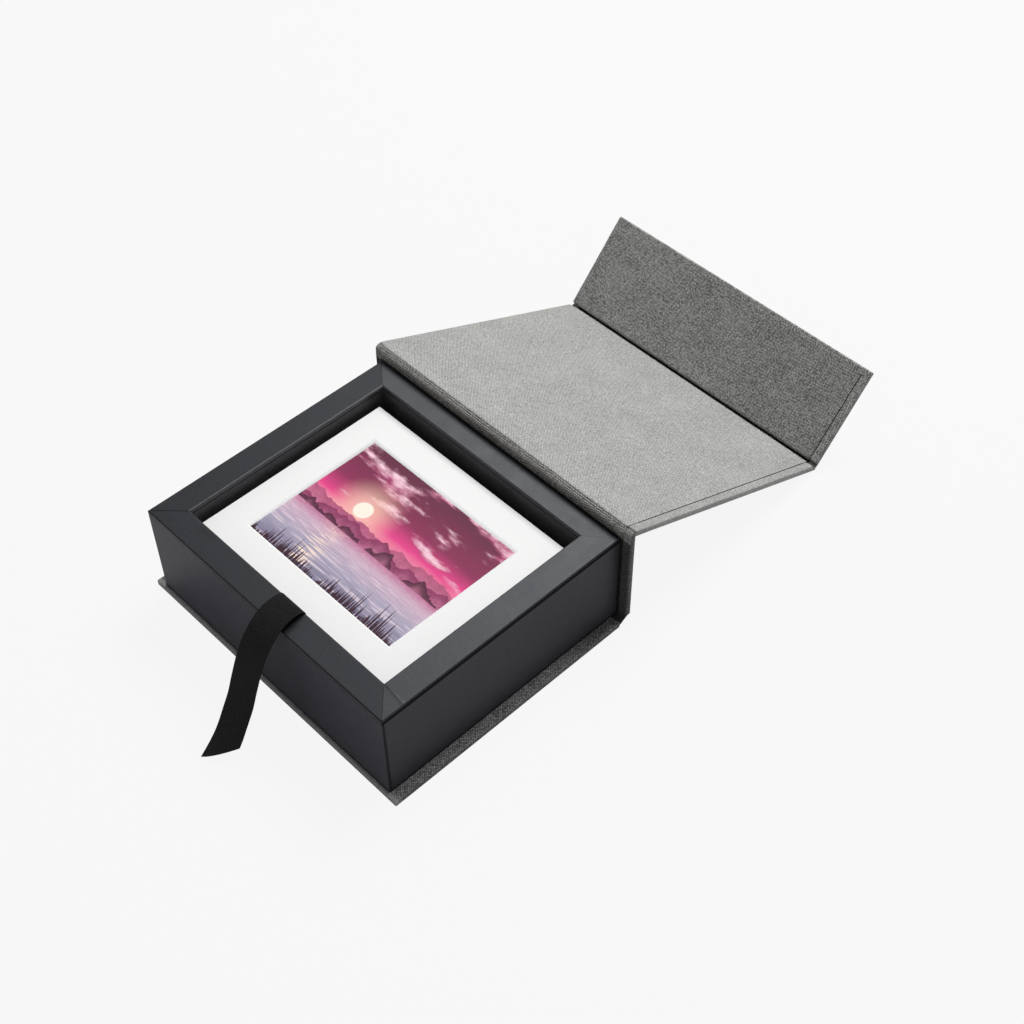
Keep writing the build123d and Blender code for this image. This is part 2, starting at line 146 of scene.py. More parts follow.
# %% Camera
heading, tilt, roll = radians(46.52), radians(48.48), radians(-0.69)
right = Vector((cos(heading), sin(heading), 0))
backward = Vector((sin(heading) * cos(tilt), -cos(heading) * cos(tilt), sin(tilt)))
upward = backward.cross(right)
lens_data = bpy.data.cameras.new("camera")
lens_data.lens, lens_data.sensor_width = 59.08, 36
lens_data.clip_start, lens_data.clip_end = 0.05, 30
stand = Vector((0.50155, -0.37456, 0.78232))
camera = bpy.data.objects.new("camera", lens_data)
axes = (cos(roll) * right + sin(roll) * upward, cos(roll) * upward - sin(roll) * right, backward)
camera.matrix_world = Matrix.Translation(stand) @ Matrix(axes).transposed().to_4x4()
bpy.context.scene.collection.objects.link(camera)
bpy.context.scene.camera = camera
print("camera at", [round(v, 3) for v in camera.location])

# %% [markdown]
# A material here is a small network of nodes. Writing each node and link by hand takes many lines,
# so one class wraps a socket: plus, minus, times and divide on it add a Math node, or Vector Math
# where a colour or vector is in play, and its node method makes any other node from its type, its
# settings and its inputs. Numbers alone stay in Python.

# %% Shader expressions
class Wire:
    """An output socket in a material's nodes, which can be used in sums."""

    def __init__(self, tree, socket=None):
        self.tree, self.socket = tree, socket

    def node(self, kind, settings=None, inputs=None, output=None):
        """Makes a node: settings first, then values or wires into its inputs."""
        made = self.tree.nodes.new("ShaderNode" + kind)
        for name, value in (settings or {}).items():
            if name == "stops":
                while len(made.color_ramp.elements) < len(value):
                    made.color_ramp.elements.new(0.5)
                for element, (place, colour) in zip(made.color_ramp.elements, value):
                    element.position, element.color = place, (*colour, 1)
            else:
                setattr(made, name, value)
        for name, value in (inputs or {}).items():
            if isinstance(name, int):
                socket = made.inputs[name]
            else:
                socket = next(s for s in made.inputs if s.name == name and s.enabled)
            if isinstance(value, Wire):
                self.tree.links.new(value.socket, socket)
            elif hasattr(value, "__len__") and len(value) == 3 and socket.type == "RGBA":
                socket.default_value = (*value, 1)
            else:
                socket.default_value = value
        outputs = [s for s in made.outputs if s.enabled]
        chosen = next(s for s in outputs if s.name == output) if output else outputs[0] if outputs else None
        return Wire(self.tree, chosen)

    def sum(self, operation, other, flipped=False):
        """Adds one Math or Vector Math node for this wire and a number or another wire."""
        pair = [other, self] if flipped else [self, other]
        wires = [part for part in pair if isinstance(part, Wire)]
        if all(wire.socket.type == "VALUE" for wire in wires):
            return self.node("Math", {"operation": operation}, {0: pair[0], 1: pair[1]})
        pair = [part if isinstance(part, Wire) or hasattr(part, "__len__") else (part,) * 3 for part in pair]
        return self.node("VectorMath", {"operation": operation}, {0: pair[0], 1: pair[1]})

    def __add__(self, other):
        return self.sum("ADD", other)

    __radd__ = __add__

    def __sub__(self, other):
        return self.sum("SUBTRACT", other)

    def __rsub__(self, other):
        return self.sum("SUBTRACT", other, flipped=True)

    def __mul__(self, other):
        return self.sum("MULTIPLY", other)

    __rmul__ = __mul__

    def __truediv__(self, other):
        return self.sum("DIVIDE", other)

    def __rtruediv__(self, other):
        return self.sum("DIVIDE", other, flipped=True)

    def math(self, operation, other=0.0):
        """A Math node that has no sign of its own, such as SINE or MAXIMUM."""
        return self.node("Math", {"operation": operation}, {0: self, 1: other})

    def step(self, low, high):
        """From 0 at low to 1 at high, with soft ends."""
        return self.node("MapRange", {"interpolation_type": "SMOOTHSTEP"},
                         {"Value": self, "From Min": low, "From Max": high})

    def mix(self, first, second, blend="MIX"):
        """The first colour where this wire is 0, and the second where it is 1."""
        return self.node("Mix", {"data_type": "RGBA", "blend_type": blend},
                         {"Factor": self, "A": first, "B": second})


print("shader expressions ready")

# %% A material to start from
def finish(name, colour, roughness, **constants):
    """A material with its main shader set, and the wire that new nodes hang on."""
    material = bpy.data.materials.new(name)
    material.use_nodes = True
    shader = material.node_tree.nodes["Principled BSDF"]
    shader.inputs["Base Color"].default_value = (*colour, 1)
    shader.inputs["Roughness"].default_value = roughness
    for socket, value in constants.items():
        shader.inputs[socket.replace("_", " ")].default_value = value
    return material, Wire(material.node_tree), shader


def feed(wire, shader, socket):
    """Links a wire into one of the main shader's sockets."""
    wire.tree.links.new(wire.socket, shader.inputs[socket])


def bump(height, depth, strength=1.0):
    """Turns a height from 0 to 1 into a surface normal, depth metres high."""
    return height.node("Bump", {}, {"Height": height, "Distance": depth, "Strength": strength})


def object_place(wire):
    """Object coordinates, split into x, y and z, in metres."""
    place = wire.node("TexCoord", output="Object")
    parts = [place.node("SeparateXYZ", {}, {"Vector": place}, output=axis) for axis in "XYZ"]
    return place, parts


def noise(place, size, detail=2.0, roughness=0.5, stretch=(1, 1, 1)):
    """Cloudy noise from 0 to 1, whose patches are about size metres across."""
    scaled = place * tuple(factor / size for factor in stretch)
    return place.node("TexNoise", {}, {"Vector": scaled, "Scale": 1.0, "Detail": detail,
                                       "Roughness": roughness}, output="Fac")


print("material helpers ready")

# %% [markdown]
# Book cloth is a plain weave of linen threads, about 15 to the centimetre, dyed grey and stiffened
# with paste. An image could carry it, but threads drawn by sums stay sharp at any size. Each set of
# threads is a sine across its own direction, with uneven colour drawn out along the thread, and the
# two sets trade places in a check, over one and under one. Each crossing has a tone of its own,
# which gives the grain that is seen from far off. The cloth's own coordinates lie in a map called
# weave, in metres, so the threads follow the cloth round edges and over joints.

# %% Linen book cloth
thread, thread_relief, unevenness = 0.68 * mm, 0.16 * mm, 0.6 * mm


def linen(name, light, dark, sparse=1.0, painted_light_and_shade=(), check=0.38, painted_shade_span=None):
    """Plain-woven cloth, with its threads along the weave map's two directions. A higher sparse leaves fewer light
    threads, and check is how much the crossings stand out. Each band of painted shade is a place along the cloth,
    a width and how much darker it is painted; a band with a negative strength paints light there instead. The span
    is two places along Y: the cloth has painted shade, darkest at the first place, and has its own tone from the
    second."""
    material, wire, shader = finish(name, light, 0.9, Specular_IOR_Level=0.15)
    weave = wire.node("UVMap", {"uv_map": "weave"})
    wander = noise(weave, 7 * mm, 3.0)
    across = weave.node("SeparateXYZ", {}, {"Vector": weave}, output="X") + wander * unevenness
    place_along = weave.node("SeparateXYZ", {}, {"Vector": weave}, output="Y")
    along = place_along + wander * unevenness
    warp = (across * (pi / thread)).math("SINE")
    weft = (along * (pi / thread)).math("SINE")
    over = (warp * weft).step(-0.15, 0.15)
    height = over * warp.math("ABSOLUTE") + (1 - over) * weft.math("ABSOLUTE")
    crossing = weave.node("CombineXYZ", {}, {"X": (across / thread).math("FLOOR"),
                                             "Y": (along / thread).math("FLOOR")})
    cross_tone = crossing.node("TexWhiteNoise", {"noise_dimensions": "2D"}, {"Vector": crossing},
                               output="Value")
    warp_tone = noise(weave, thread, 1.0, 0.5, stretch=(1.2, 0.3, 1)).step(0.36, 0.64)
    weft_tone = noise(weave + (0.31, 0.17, 0.0), thread, 1.0, 0.5, stretch=(0.3, 1.2, 1)).step(0.36, 0.64)
    slub = noise(weave, 3.2 * mm, 2.0)
    cloudy = noise(weave, 30 * mm, 2.0)
    dots = 0.03 + over * (check + cross_tone * 0.46) + (1 - over) * cross_tone * 0.22
    tone = (over * warp_tone + (1 - over) * weft_tone) * 0.12 + dots + height * 0.14
    shade = tone + (slub - 0.5) * 0.06 + (cloudy - 0.5) * 0.20 + cross_tone.step(0.955, 0.965) * 0.16
    # Painted shade: each band darkens the cloth, and a band with a negative strength paints light instead.
    for band_at, width, strength in painted_light_and_shade:
        near = (place_along + (wander - 0.5) * (0.8 * mm) - band_at).math("ABSOLUTE")
        shade = shade - (1 - near.step(0.0, width)) * strength
    shade = shade.step(-0.05, 1.1).math("POWER", sparse)
    # Painted shade: the cloth darkens towards the span's first place along Y.
    if painted_shade_span:
        shade = shade * (0.28 + 0.72 * object_place(wire)[1][1].step(*painted_shade_span))
    feed(shade.mix(dark, light), shader, "Base Color")
    feed(0.95 - shade * 0.1, shader, "Roughness")
    feed(bump(height * 0.6 + tone * 0.4, thread_relief), shader, "Normal")
    return material


print("linen threads", round(thread / mm, 2), "mm apart")

# %% [markdown]
# Each stretch of the case gets a copy of the one grey linen in its own two tones, one for the tops of the threads
# and one for the gaps between them, and the copies paint light and shade. The spine, the base, the flap and the
# crest's sides get darker copies with the darkest gaps, as painted shade, and the lid's sides get a slightly
# lighter copy, as painted light. Cloth that lies hidden inside a joint is painted nearly black all over, as
# painted shade.

# %% Linens of the case
book_cloth = linen("book_cloth", (0.64, 0.64, 0.62), (0.13, 0.13, 0.125))
# Painted light: the lid's sides get a slightly lighter copy.
side_linen_lit = linen("side_cloth", (0.66, 0.66, 0.65), (0.15, 0.15, 0.147))
lining_cloth = linen("lining_cloth", (0.68, 0.68, 0.66), (0.11, 0.11, 0.106))
# Painted shade: the flap's cloth is a darker copy.
flap_linen_shaded = linen("flap_lining", (0.82, 0.82, 0.795), (0.060, 0.060, 0.057), 2.05)
# Painted shade: the base's cloth is a darker copy, and its band at the front edge is painted paler, as painted
# light.
base_linen_shaded = linen("base_cloth", (0.46, 0.46, 0.455), (0.042, 0.042, 0.042), 2.0,
                   painted_light_and_shade=[(-1.0 * mm, 5.0 * mm, -0.6)], check=0.32)
# Painted shade: the spine's cloth is a darker copy, darker still towards the tray.
spine_linen_shaded = linen("spine_cloth", (0.46, 0.46, 0.45), (0.022, 0.022, 0.022), 1.5,
                    painted_shade_span=(spine_inner - 0.5 * mm, spine_outer))
# Painted shade: the crest's sides get a darker copy.
crest_end_linen_shaded = linen("crest_end_cloth", (0.52, 0.52, 0.51), (0.07, 0.07, 0.068), 1.1)
# Painted shade: cloth in the joints is nearly black.
painted_shade_linen = linen("hidden_cloth", (0.03, 0.03, 0.028), (0.003, 0.003, 0.003))
print("linens", book_cloth.name, side_linen_lit.name, lining_cloth.name, flap_linen_shaded.name, base_linen_shaded.name)

# %% [markdown]
# The lining's edge is cut, and the dark line along it is painted shade: the thin rim of each lining sheet gets a
# nearly black finish of its own.

# %% Painted shade at the lining's cut edge
cut_edge, wire, shader = finish("cut_edge", (0.02, 0.02, 0.019), 0.95, Specular_IOR_Level=0.05)
fibres = noise(object_place(wire)[0], 0.9 * mm)
feed(fibres.mix((0.003, 0.003, 0.003), (0.045, 0.045, 0.042)), shader, "Base Color")
print("cut edge", cut_edge.name)

# %% [markdown]
# The tray is covered in black paper with a fine tooth and a faint sheen. Fibres catch a little light,
# so the black is mottled very slightly, and a Bump of fine noise breaks the reflections up.

# %% Black covering paper
def covering_paper(name, deep, pale, roughness, tooth=0.035 * mm, gloss=0.3, front_painted_light=0.0):
    """Dark paper with a fine tooth, faint, uneven mottling, and a surface that isn't quite flat. Its last argument
    is how much paler the front face is painted, as painted light."""
    material, wire, shader = finish(name, deep, roughness, Specular_IOR_Level=gloss,
                                    Specular_Tint=(0.94, 0.96, 1.0, 1))
    place, parts = object_place(wire)
    fibre = noise(place, 0.7 * mm, 3.0, 0.6)
    speckle = noise(place, 1.7 * mm, 2.0, 0.6)
    patch = noise(place, 11 * mm, 3.0, 0.6)
    tone = (fibre * 0.35 + speckle * 0.45 + patch * 0.45).step(0.38, 0.86)
    colour = tone.mix(deep, pale)
    # Painted light: the front face is made paler.
    if front_painted_light:
        in_front = 1 - parts[1].step(tray_front + 0.2 * mm, tray_front + 0.6 * mm)
        colour = colour * (1 + in_front * front_painted_light)
    feed(colour, shader, "Base Color")
    feed(roughness - 0.10 + patch * 0.20, shader, "Roughness")
    feed(bump(fibre * 0.4 + speckle * 0.3 + patch * 1.6, tooth), shader, "Normal")
    return material


rim_tooth = 0.05 * mm
print("paper's tooth on the rim", rim_tooth / mm, "mm")

# %% [markdown]
# The walls, the rim and the well are covered in black paper, and copies of it paint light and shade. The front
# wall is painted paler, as painted light, and the rim's rounded edges and the inner face of its left side get
# paler bands, as painted highlights. A nearly black copy paints the shade on the outer faces of the rim's right,
# back and left sides, in its seams and mitres and at the walls' foot. The rim's front and left sides are duller
# and painted darker, as painted shade, and the well's paper is painted lighter, as painted light.

# %% Papers of the tray
wall_paper = covering_paper("wall_paper", (0.017, 0.0155, 0.020), (0.034, 0.031, 0.040), 0.48, front_painted_light=1.1)
rim_paper, rim_dull_shaded, worn_paper, rubbed_paper = [
    covering_paper(name, deep, pale, roughness, rim_tooth, gloss) for name, deep, pale, roughness, gloss in (
        ("rim_paper", (0.006, 0.007, 0.009), (0.020, 0.022, 0.026), 0.42, 0.24),
        ("rim_paper_dull", (0.004, 0.0045, 0.006), (0.013, 0.014, 0.018), 0.47, 0.17),
        ("worn_paper", (0.034, 0.035, 0.038), (0.080, 0.081, 0.084), 0.5, 0.24),
        ("rubbed_paper", (0.060, 0.059, 0.060), (0.110, 0.108, 0.106), 0.5, 0.24))]
turned_paper = covering_paper("turned_paper", (0.008, 0.0075, 0.009), (0.018, 0.017, 0.020), 0.65, gloss=0.12)
edge_paper = covering_paper("edge_paper", (0.003, 0.003, 0.004), (0.006, 0.006, 0.008), 0.75, gloss=0.06)
# Painted light: the well's paper is a lighter copy of the black paper.
well_paper = covering_paper("well_paper", (0.030, 0.029, 0.032), (0.062, 0.059, 0.063), 0.5)
card = covering_paper("black_card", (0.014, 0.014, 0.015), (0.028, 0.028, 0.03), 0.7)
print("papers", wall_paper.name, rim_paper.name, well_paper.name, card.name)

# %% [markdown]
# Mat board is white cotton board with a very slight tooth. Its bevelled window shows the bright core.
# Greyboard is pressed from pulp and speckled with fibres. Both are pale, rough and quite plain.

# %% Boards
def pulp(name, pale, dark, grain):
    """Board or card, with specks of fibre."""
    material, wire, shader = finish(name, pale, 0.9, Specular_IOR_Level=0.2)
    speck = noise(object_place(wire)[0], grain, 3.0, 0.65)
    feed(speck.step(0.3, 0.75).mix(dark, pale), shader, "Base Color")
    feed(bump(speck, 0.03 * mm), shader, "Normal")
    return material


mat_board = pulp("mat_board", (0.945, 0.945, 0.94), (0.925, 0.925, 0.92), 0.9 * mm)
backing = pulp("backing_board", (0.84, 0.83, 0.80), (0.80, 0.79, 0.76), 1.2 * mm)
greyboard = pulp("greyboard", (0.38, 0.36, 0.33), (0.26, 0.245, 0.225), 0.8 * mm)
print("boards", mat_board.name, backing.name, greyboard.name)

# %% [markdown]
# Grosgrain ribbon has ribs across its width, about nine to the centimetre, made by thick weft cords under a fine
# warp. The ribs follow the ribbon's length, which its own map holds. Where it springs over the rim, the tops of
# the ribs are painted paler than on the hanging length, as painted highlight.

# %% Ribbon finish
rib_gap, yarn_gap = 1.1 * mm, 0.35 * mm
ribbon_cloth, wire, shader = finish("grosgrain", (0.008, 0.008, 0.009), 0.5, Specular_IOR_Level=0.10)
weave = wire.node("UVMap", {"uv_map": "weave"})
across, along = [weave.node("SeparateXYZ", {}, {"Vector": weave}, output=axis) for axis in "XY"]
rib = (along * (2 * pi / rib_gap)).math("SINE") * 0.5 + 0.5
yarn = (across * (2 * pi / yarn_gap)).math("SINE") * 0.5 + 0.5
# Painted highlight: over the rim the tops of the ribs are painted paler.
on_crest = object_place(wire)[1][2].step(rim_top - 16 * mm, rim_top - 1 * mm)
cord_top = (rib * 0.88 + yarn * 0.12).math("POWER", 6.0)
sheen = cord_top * (0.2 + on_crest * 0.8) + (1 - on_crest) * 0.50
feed(sheen.mix((0.0004, 0.0004, 0.0005), (0.026, 0.026, 0.0277)), shader, "Base Color")
feed(0.9 - rib * 0.55, shader, "Roughness")
feed(bump(rib * 0.85 + yarn * 0.15, 0.38 * mm), shader, "Normal")
print("ribs", rib_gap / mm, "mm apart")

# %% [markdown]
# The print in the top mat is a plain dusk landscape: a plum sky with lit pink cloud, a low pale sun,
# three ridges of hills in haze, and a lilac lake behind reeds. It is drawn by sums of the place on
# the paper, u from left to right and v from the near edge to the far one.

# %% Picture: place and cloud
print_low, print_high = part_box("photo_print_1")
window_width, window_depth = 120 * mm, 94 * mm
middle_y = (print_low.y + print_high.y) / 2
picture, wire, shader = finish("picture", (0.5, 0.3, 0.35), 0.5, Specular_IOR_Level=0.12)
place, (x, y, z) = object_place(wire)
u, v = x / window_width + 0.5, (y - middle_y) / window_depth + 0.5
flat = place * (1 / window_width, 1 / window_depth, 0.0)


def drift(stretch, shift=(0.0, 0.0, 0.0), detail=6.0):
    """Cloud-like noise over the picture."""
    return wire.node("TexNoise", {}, {"Vector": flat * stretch + shift, "Scale": 1.0, "Detail": detail,
                                      "Roughness": 0.58}, output="Fac")


def along_line(place, detail=2.0):
    """Noise along one line, such as a row of hills or reeds."""
    return wire.node("TexNoise", {"noise_dimensions": "1D"}, {"W": place, "Scale": 1.0, "Detail": detail},
                     output="Fac")


print("picture", round(window_width / mm), "x", round(window_depth / mm), "mm in its window")

# %% Picture: sky and sun
sky_place = v + (drift((2.0, 5.0, 1.0)) - 0.5) * 0.10
sky_stops = [(0.44, (0.95, 0.40, 0.46)), (0.55, (0.80, 0.055, 0.26)),
             (0.70, (0.25, 0.022, 0.085)), (1.0, (0.10, 0.012, 0.04))]
sky = sky_place.node("ValToRGB", {"stops": sky_stops}, {"Fac": sky_place})
bank = drift((3.2, 7.0, 1.0), (4.0, 2.0, 0.0), 8.0)
bank_above = drift((3.2, 7.0, 1.0), (4.05, 2.28, 0.0), 8.0)
cloud_light = ((bank - bank_above) * 3.4 + 0.42).step(0.0, 1.0)
cloud_colour = cloud_light.mix((0.42, 0.02, 0.14), (1.0, 0.66, 0.76))
sky = (bank.step(0.50, 0.64) * v.step(0.50, 0.62)).mix(sky, cloud_colour)
sun_left, sun_up, sun_radius = 24 * mm, 7 * mm, 6 * mm
sun_x, sun_y = (x + sun_left) / sun_radius, (y - middle_y - sun_up) / sun_radius
from_sun = (sun_x * sun_x + sun_y * sun_y).math("SQRT")
sky = ((1 - from_sun.step(0.4, 4.6)) * 0.75).mix(sky, (1.0, 0.62, 0.48))
sky = (1 - from_sun.step(0.92, 1.10)).mix(sky, (1.0, 0.92, 0.80))
print("sun", round(2 * sun_radius / mm), "mm across")

# %% Picture: hills
landscape = sky
texture = drift((26.0, 20.0, 1.0), (1.0, 7.0, 0.0), 6.0)
ridges = ((0.505, 3.4, 1.7, 5.0, (0.62, 0.13, 0.27)), (0.455, 4.6, 5.2, 7.0, (0.34, 0.045, 0.15)),
          (0.405, 7.5, 9.1, 10.0, (0.11, 0.014, 0.05)))
for level, size, shift, rough, colour in ridges:
    crest_line = along_line(u * size + shift, rough) * 0.24 + (level - 0.12)
    below = (crest_line - v).step(-0.003, 0.003)
    haze = (crest_line - v).step(0.0, 0.11)
    hillside = (haze * 0.6).mix(tuple(c * 0.8 for c in colour), (0.66, 0.22, 0.36))
    hillside = (texture.step(0.42, 0.62) * 0.35).mix(hillside, tuple(c * 0.45 for c in colour))
    landscape = below.mix(landscape, hillside)
print("ridges", len(ridges))

# %% Picture: lake and reeds
near_shore = 1.0 / (0.43 - v).math("MAXIMUM", 0.02)
on_water = wire.node("CombineXYZ", {}, {"X": (u - 0.5) * near_shore * 1.3, "Y": near_shore * 5.0})
ripple = on_water.node("TexNoise", {"noise_dimensions": "2D"},
                       {"Vector": on_water, "Scale": 1.0, "Detail": 5.0, "Roughness": 0.6}, output="Fac")
depth_place = v + (ripple - 0.5) * 0.16
lake_stops = [(0.0, (0.20, 0.18, 0.28)), (0.16, (0.42, 0.38, 0.50)),
              (0.30, (0.62, 0.42, 0.54)), (0.37, (0.50, 0.10, 0.26))]
lake = depth_place.node("ValToRGB", {"stops": lake_stops}, {"Fac": depth_place})
lake = (ripple.step(0.50, 0.66) * 0.6).mix(lake, (0.86, 0.72, 0.80))
glint = ripple.step(0.50, 0.60) * (1 - ((x + sun_left) / (9 * mm)).math("ABSOLUTE").step(0.2, 1.4))
lake = glint.mix(lake, (1.0, 0.78, 0.68))
landscape = (0.372 - v + (ripple - 0.5) * 0.01).step(-0.002, 0.002).mix(landscape, lake)
stalks, clump = along_line(u * 95.0 + v * 9.0), along_line(u * 5.0 + 3.3)
reeds = ((stalks - 0.36) * 0.75 * (clump - 0.28).math("MAXIMUM", 0.0) * 1.9 - v).step(-0.006, 0.006)
landscape = reeds.mix(landscape, (0.035, 0.008, 0.02))
feed(landscape, shader, "Base Color")
print("lake and reeds on", picture.name)

# %% [markdown]
# The disc magnets in the flap and the front wall are plated with nickel, which tumbling leaves
# unevenly bright, so only their roughness varies.

# %% Magnets
magnet, wire, shader = finish("nickel", (0.62, 0.61, 0.59), 0.28, Metallic=1.0)
feed(0.22 + noise(object_place(wire)[0], 1.5 * mm, 3.0) * 0.16, shader, "Roughness")
print("magnets", magnet.name)

# %% [markdown]
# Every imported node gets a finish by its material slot, also the boards that cloth and paper hide.

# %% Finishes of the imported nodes
finish_of_slot = {"book_cloth": book_cloth, "cloth_lining": lining_cloth, "black_paper": rim_paper,
                  "black_card": card, "greyboard": greyboard, "magnet": magnet, "ribbon": ribbon_cloth,
                  "mat_board": mat_board, "photo_paper": picture, "backing_board": backing}
slots = {part["node"]: part["material_slot"] for part in frame["record"]["subparts"]}
for name, node in frame["nodes"].items():
    node.data.materials.clear()
    node.data.materials.append(finish_of_slot[slots[name]])
for name, material in (("outer_wall_paper", wall_paper), ("well_lining", well_paper)):
    frame["nodes"][name].data.materials[0] = material
print(len(frame["nodes"]), "nodes finished")

# %% [markdown]
# Cloth over a board is drawn as an outline in the YZ plane, with rounded corners, that runs along X.
# Each corner carries y, z, how far along the cloth it lies and how deep under the outer face. The
# ends are rounded over in rings, as cloth rounds the edge of a board, and closed.

# %% Outline with rounded corners
held_off, shortest = 0.3 * mm, 0.05 * mm


def soft_corner(before, here, after, radius, steps):
    """The points round one corner, with a point beside each end of the bend that keeps the flats flat."""
    runs = [end - here for end in (before, after)]
    lengths = [hypot(*run[:2]) for run in runs]
    turn = Vector(runs[0][:2]).angle(Vector(runs[1][:2]))
    cut = [min(radius / tan(turn / 2), 0.48 * length) / length for length in lengths]
    held = [min(held_off / length, 0.49 - share) for length, share in zip(lengths, cut)]
    start, end = [here + run * share for run, share in zip(runs, cut)]
    bend = [(1 - f) ** 2 * start + 2 * f * (1 - f) * here + f ** 2 * end
            for f in [step / steps for step in range(steps + 1)]]
    if held[0] * lengths[0] > shortest:
        bend.insert(0, start + runs[0] * held[0])
    if held[1] * lengths[1] > shortest:
        bend.append(end + runs[1] * held[1])
    return bend


def rounded(corners, radius, steps=4):
    """Rounds a closed outline. A corner's fifth number is its own radius, and 0 leaves it sharp."""
    outline = []
    for number, corner in enumerate(corners):
        own = corner[4] if len(corner) > 4 else radius
        before, here, after = [Vector(corners[(number + k) % len(corners)][:4]) for k in (-1, 0, 1)]
        outline += soft_corner(before, here, after, own, steps) if own else [here]
    return outline


print("flats are held", held_off / mm, "mm from a bend")

# %% [markdown]
# Every modelled piece is made by one function. Its mesh is written out as points and faces, because
# each edge has a known place on a board, and the weave map is written with them, so that the threads
# run true from one piece to the next. Edges sharper than 38 degrees keep a hard shade.

# %% A mesh piece
def add_piece(name, points, faces, weave, materials, face_finish=None):
    """Makes a mesh object, with a weave map given per face corner."""
    mesh = bpy.data.meshes.new(name)
    mesh.from_pydata(points, [], faces)
    layer = mesh.uv_layers.new(name="weave")
    layer.data.foreach_set("uv", [value for face in weave for pair in face for value in pair])
    for material in materials:
        mesh.materials.append(material)
    if face_finish:
        mesh.polygons.foreach_set("material_index", face_finish)
    mesh.shade_smooth()
    mesh.set_sharp_from_angle(angle=radians(38))
    mesh.validate()
    piece = bpy.data.objects.new(name, mesh)
    bpy.context.scene.collection.objects.link(piece)
    return piece


print("pieces get a weave map and a material slot")

# %% [markdown]
# A sheet could get its thickness from a Solidify modifier, but that rounds the light off at its cut
# edge, because top and edge share their normals. Here the top, the underside and the cut edge are
# made together from rows of points, and the edge is marked sharp.

# %% Sheet with a thickness
def layered(name, rows, weave_rows, thickness, materials, lifted=0.0, own_finish=None, slanted=0.0):
    """A sheet from rows of points. lifted is the share of its thickness over those points, own_finish
    gives a row's finish, and slanted is how far its cut edge on the last column reaches out at the foot."""
    count, columns = len(rows), len(rows[0])
    grid = [[Vector(point) for point in row] for row in rows]
    upper, under = [], []
    for r in range(count):
        for c in range(columns):
            down = grid[min(r + 1, count - 1)][c] - grid[max(r - 1, 0)][c]
            side = grid[r][min(c + 1, columns - 1)] - grid[r][max(c - 1, 0)]
            normal = side.cross(down).normalized()
            upper.append(grid[r][c] + normal * (thickness * lifted))
            foot = side.normalized() * slanted if slanted and c == columns - 1 else Vector((0, 0, 0))
            under.append(grid[r][c] - normal * (thickness * (1 - lifted)) + foot)
    place = [pair for row in weave_rows for pair in row]
    total = count * columns
    faces, finishes = [], []
    for r in range(count - 1):
        for c in range(columns - 1):
            a = r * columns + c
            quad = (a, a + 1, a + 1 + columns, a + columns)
            faces += [quad, tuple(total + n for n in reversed(quad))]
            finishes += [own_finish(r) if own_finish else 0, 0]
    border = list(range(columns)) + [r * columns + columns - 1 for r in range(1, count)]
    border += [total - 1 - c for c in range(1, columns)] + [r * columns for r in range(count - 2, 0, -1)]
    for here, there in zip(border, border[1:] + border[:1]):
        faces.append((here, total + here, total + there, there))
        finishes.append(len(materials) - 1)
    weave = [[place[n % total] for n in face] for face in faces]
    return add_piece(name, upper + under, faces, weave, materials, finishes)


print("sheets are made with their own cut edges")

# %% [markdown]
# Book cloth is pasted over a board and turned in on all four sides. The wrap is the board's outline
# drawn out along X in rings: the last few rings at each end draw in by a quarter round, and a flat
# face closes them.

# %% Cloth over a board
edge_round, end_round, end_steps = 0.9 * mm, 0.75 * mm, 4


def wrapped(name, corners, material=None, ends=None):
    """A closed band of cloth round a board, with rounded edges and ends that may have their own cloth."""
    outline = rounded(corners, edge_round)
    count = len(outline)
    area = sum(a[0] * b[1] - b[0] * a[1] for a, b in zip(outline, outline[1:] + outline[:1]))
    side = 1 if area > 0 else -1
    inward = []
    for number in range(count):
        run = outline[(number + 1) % count] - outline[number - 1]
        inward.append(Vector((-run[1], run[0])).normalized() * side)
    rings = [(half_case - end_round - held_off, 0.0)]
    for step in range(end_steps + 1):
        bend = pi / 2 * step / end_steps
        rings.append((half_case - end_round + end_round * sin(bend), end_round * (1 - cos(bend))))
    rings = [(-x, inset) for x, inset in reversed(rings)] + rings
    points = [(x, p[0] + n[0] * inset, p[1] + n[1] * inset) for x, inset in rings
              for p, n in zip(outline, inward)]
    faces, weave = [], []
    for ring in range(len(rings) - 1):
        near, far = rings[ring][0], rings[ring + 1][0]
        for number in range(count):
            other = (number + 1) % count
            a, b = ring * count + number, ring * count + other
            along, beyond = outline[number][2], outline[other][2]
            faces.append((a, b, b + count, a + count)[::side])
            weave.append([(near, along), (near, beyond), (far, beyond), (far, along)][::side])
    for ring, edge in ((0, -half_case), (len(rings) - 1, half_case)):
        order = list(range(count))[::side if ring else -side]
        faces.append([ring * count + number for number in order])
        weave.append([(edge + (outline[number][3] if ring else -outline[number][3]), outline[number][2])
                      for number in order])
    spans = len(rings) - 1
    finishes = [int(bool(ends) and (ring < 1 or ring > spans - 2))
                for ring in range(spans) for n in range(count)]
    finishes += [int(bool(ends))] * 2
    cloths = [material or book_cloth] + ([ends] if ends else [])
    return add_piece(name, points, faces, weave, cloths, finishes)


print("cloth rounds a board's edge in", round(edge_round / mm, 2), "mm")

# %% [markdown]
# The case is one length of cloth in the real thing. Here it is cut where a board ends, so that each stretch can
# ride on its own board: base and spine on the box and the lid on its own, while the flap's stretch is made apart.

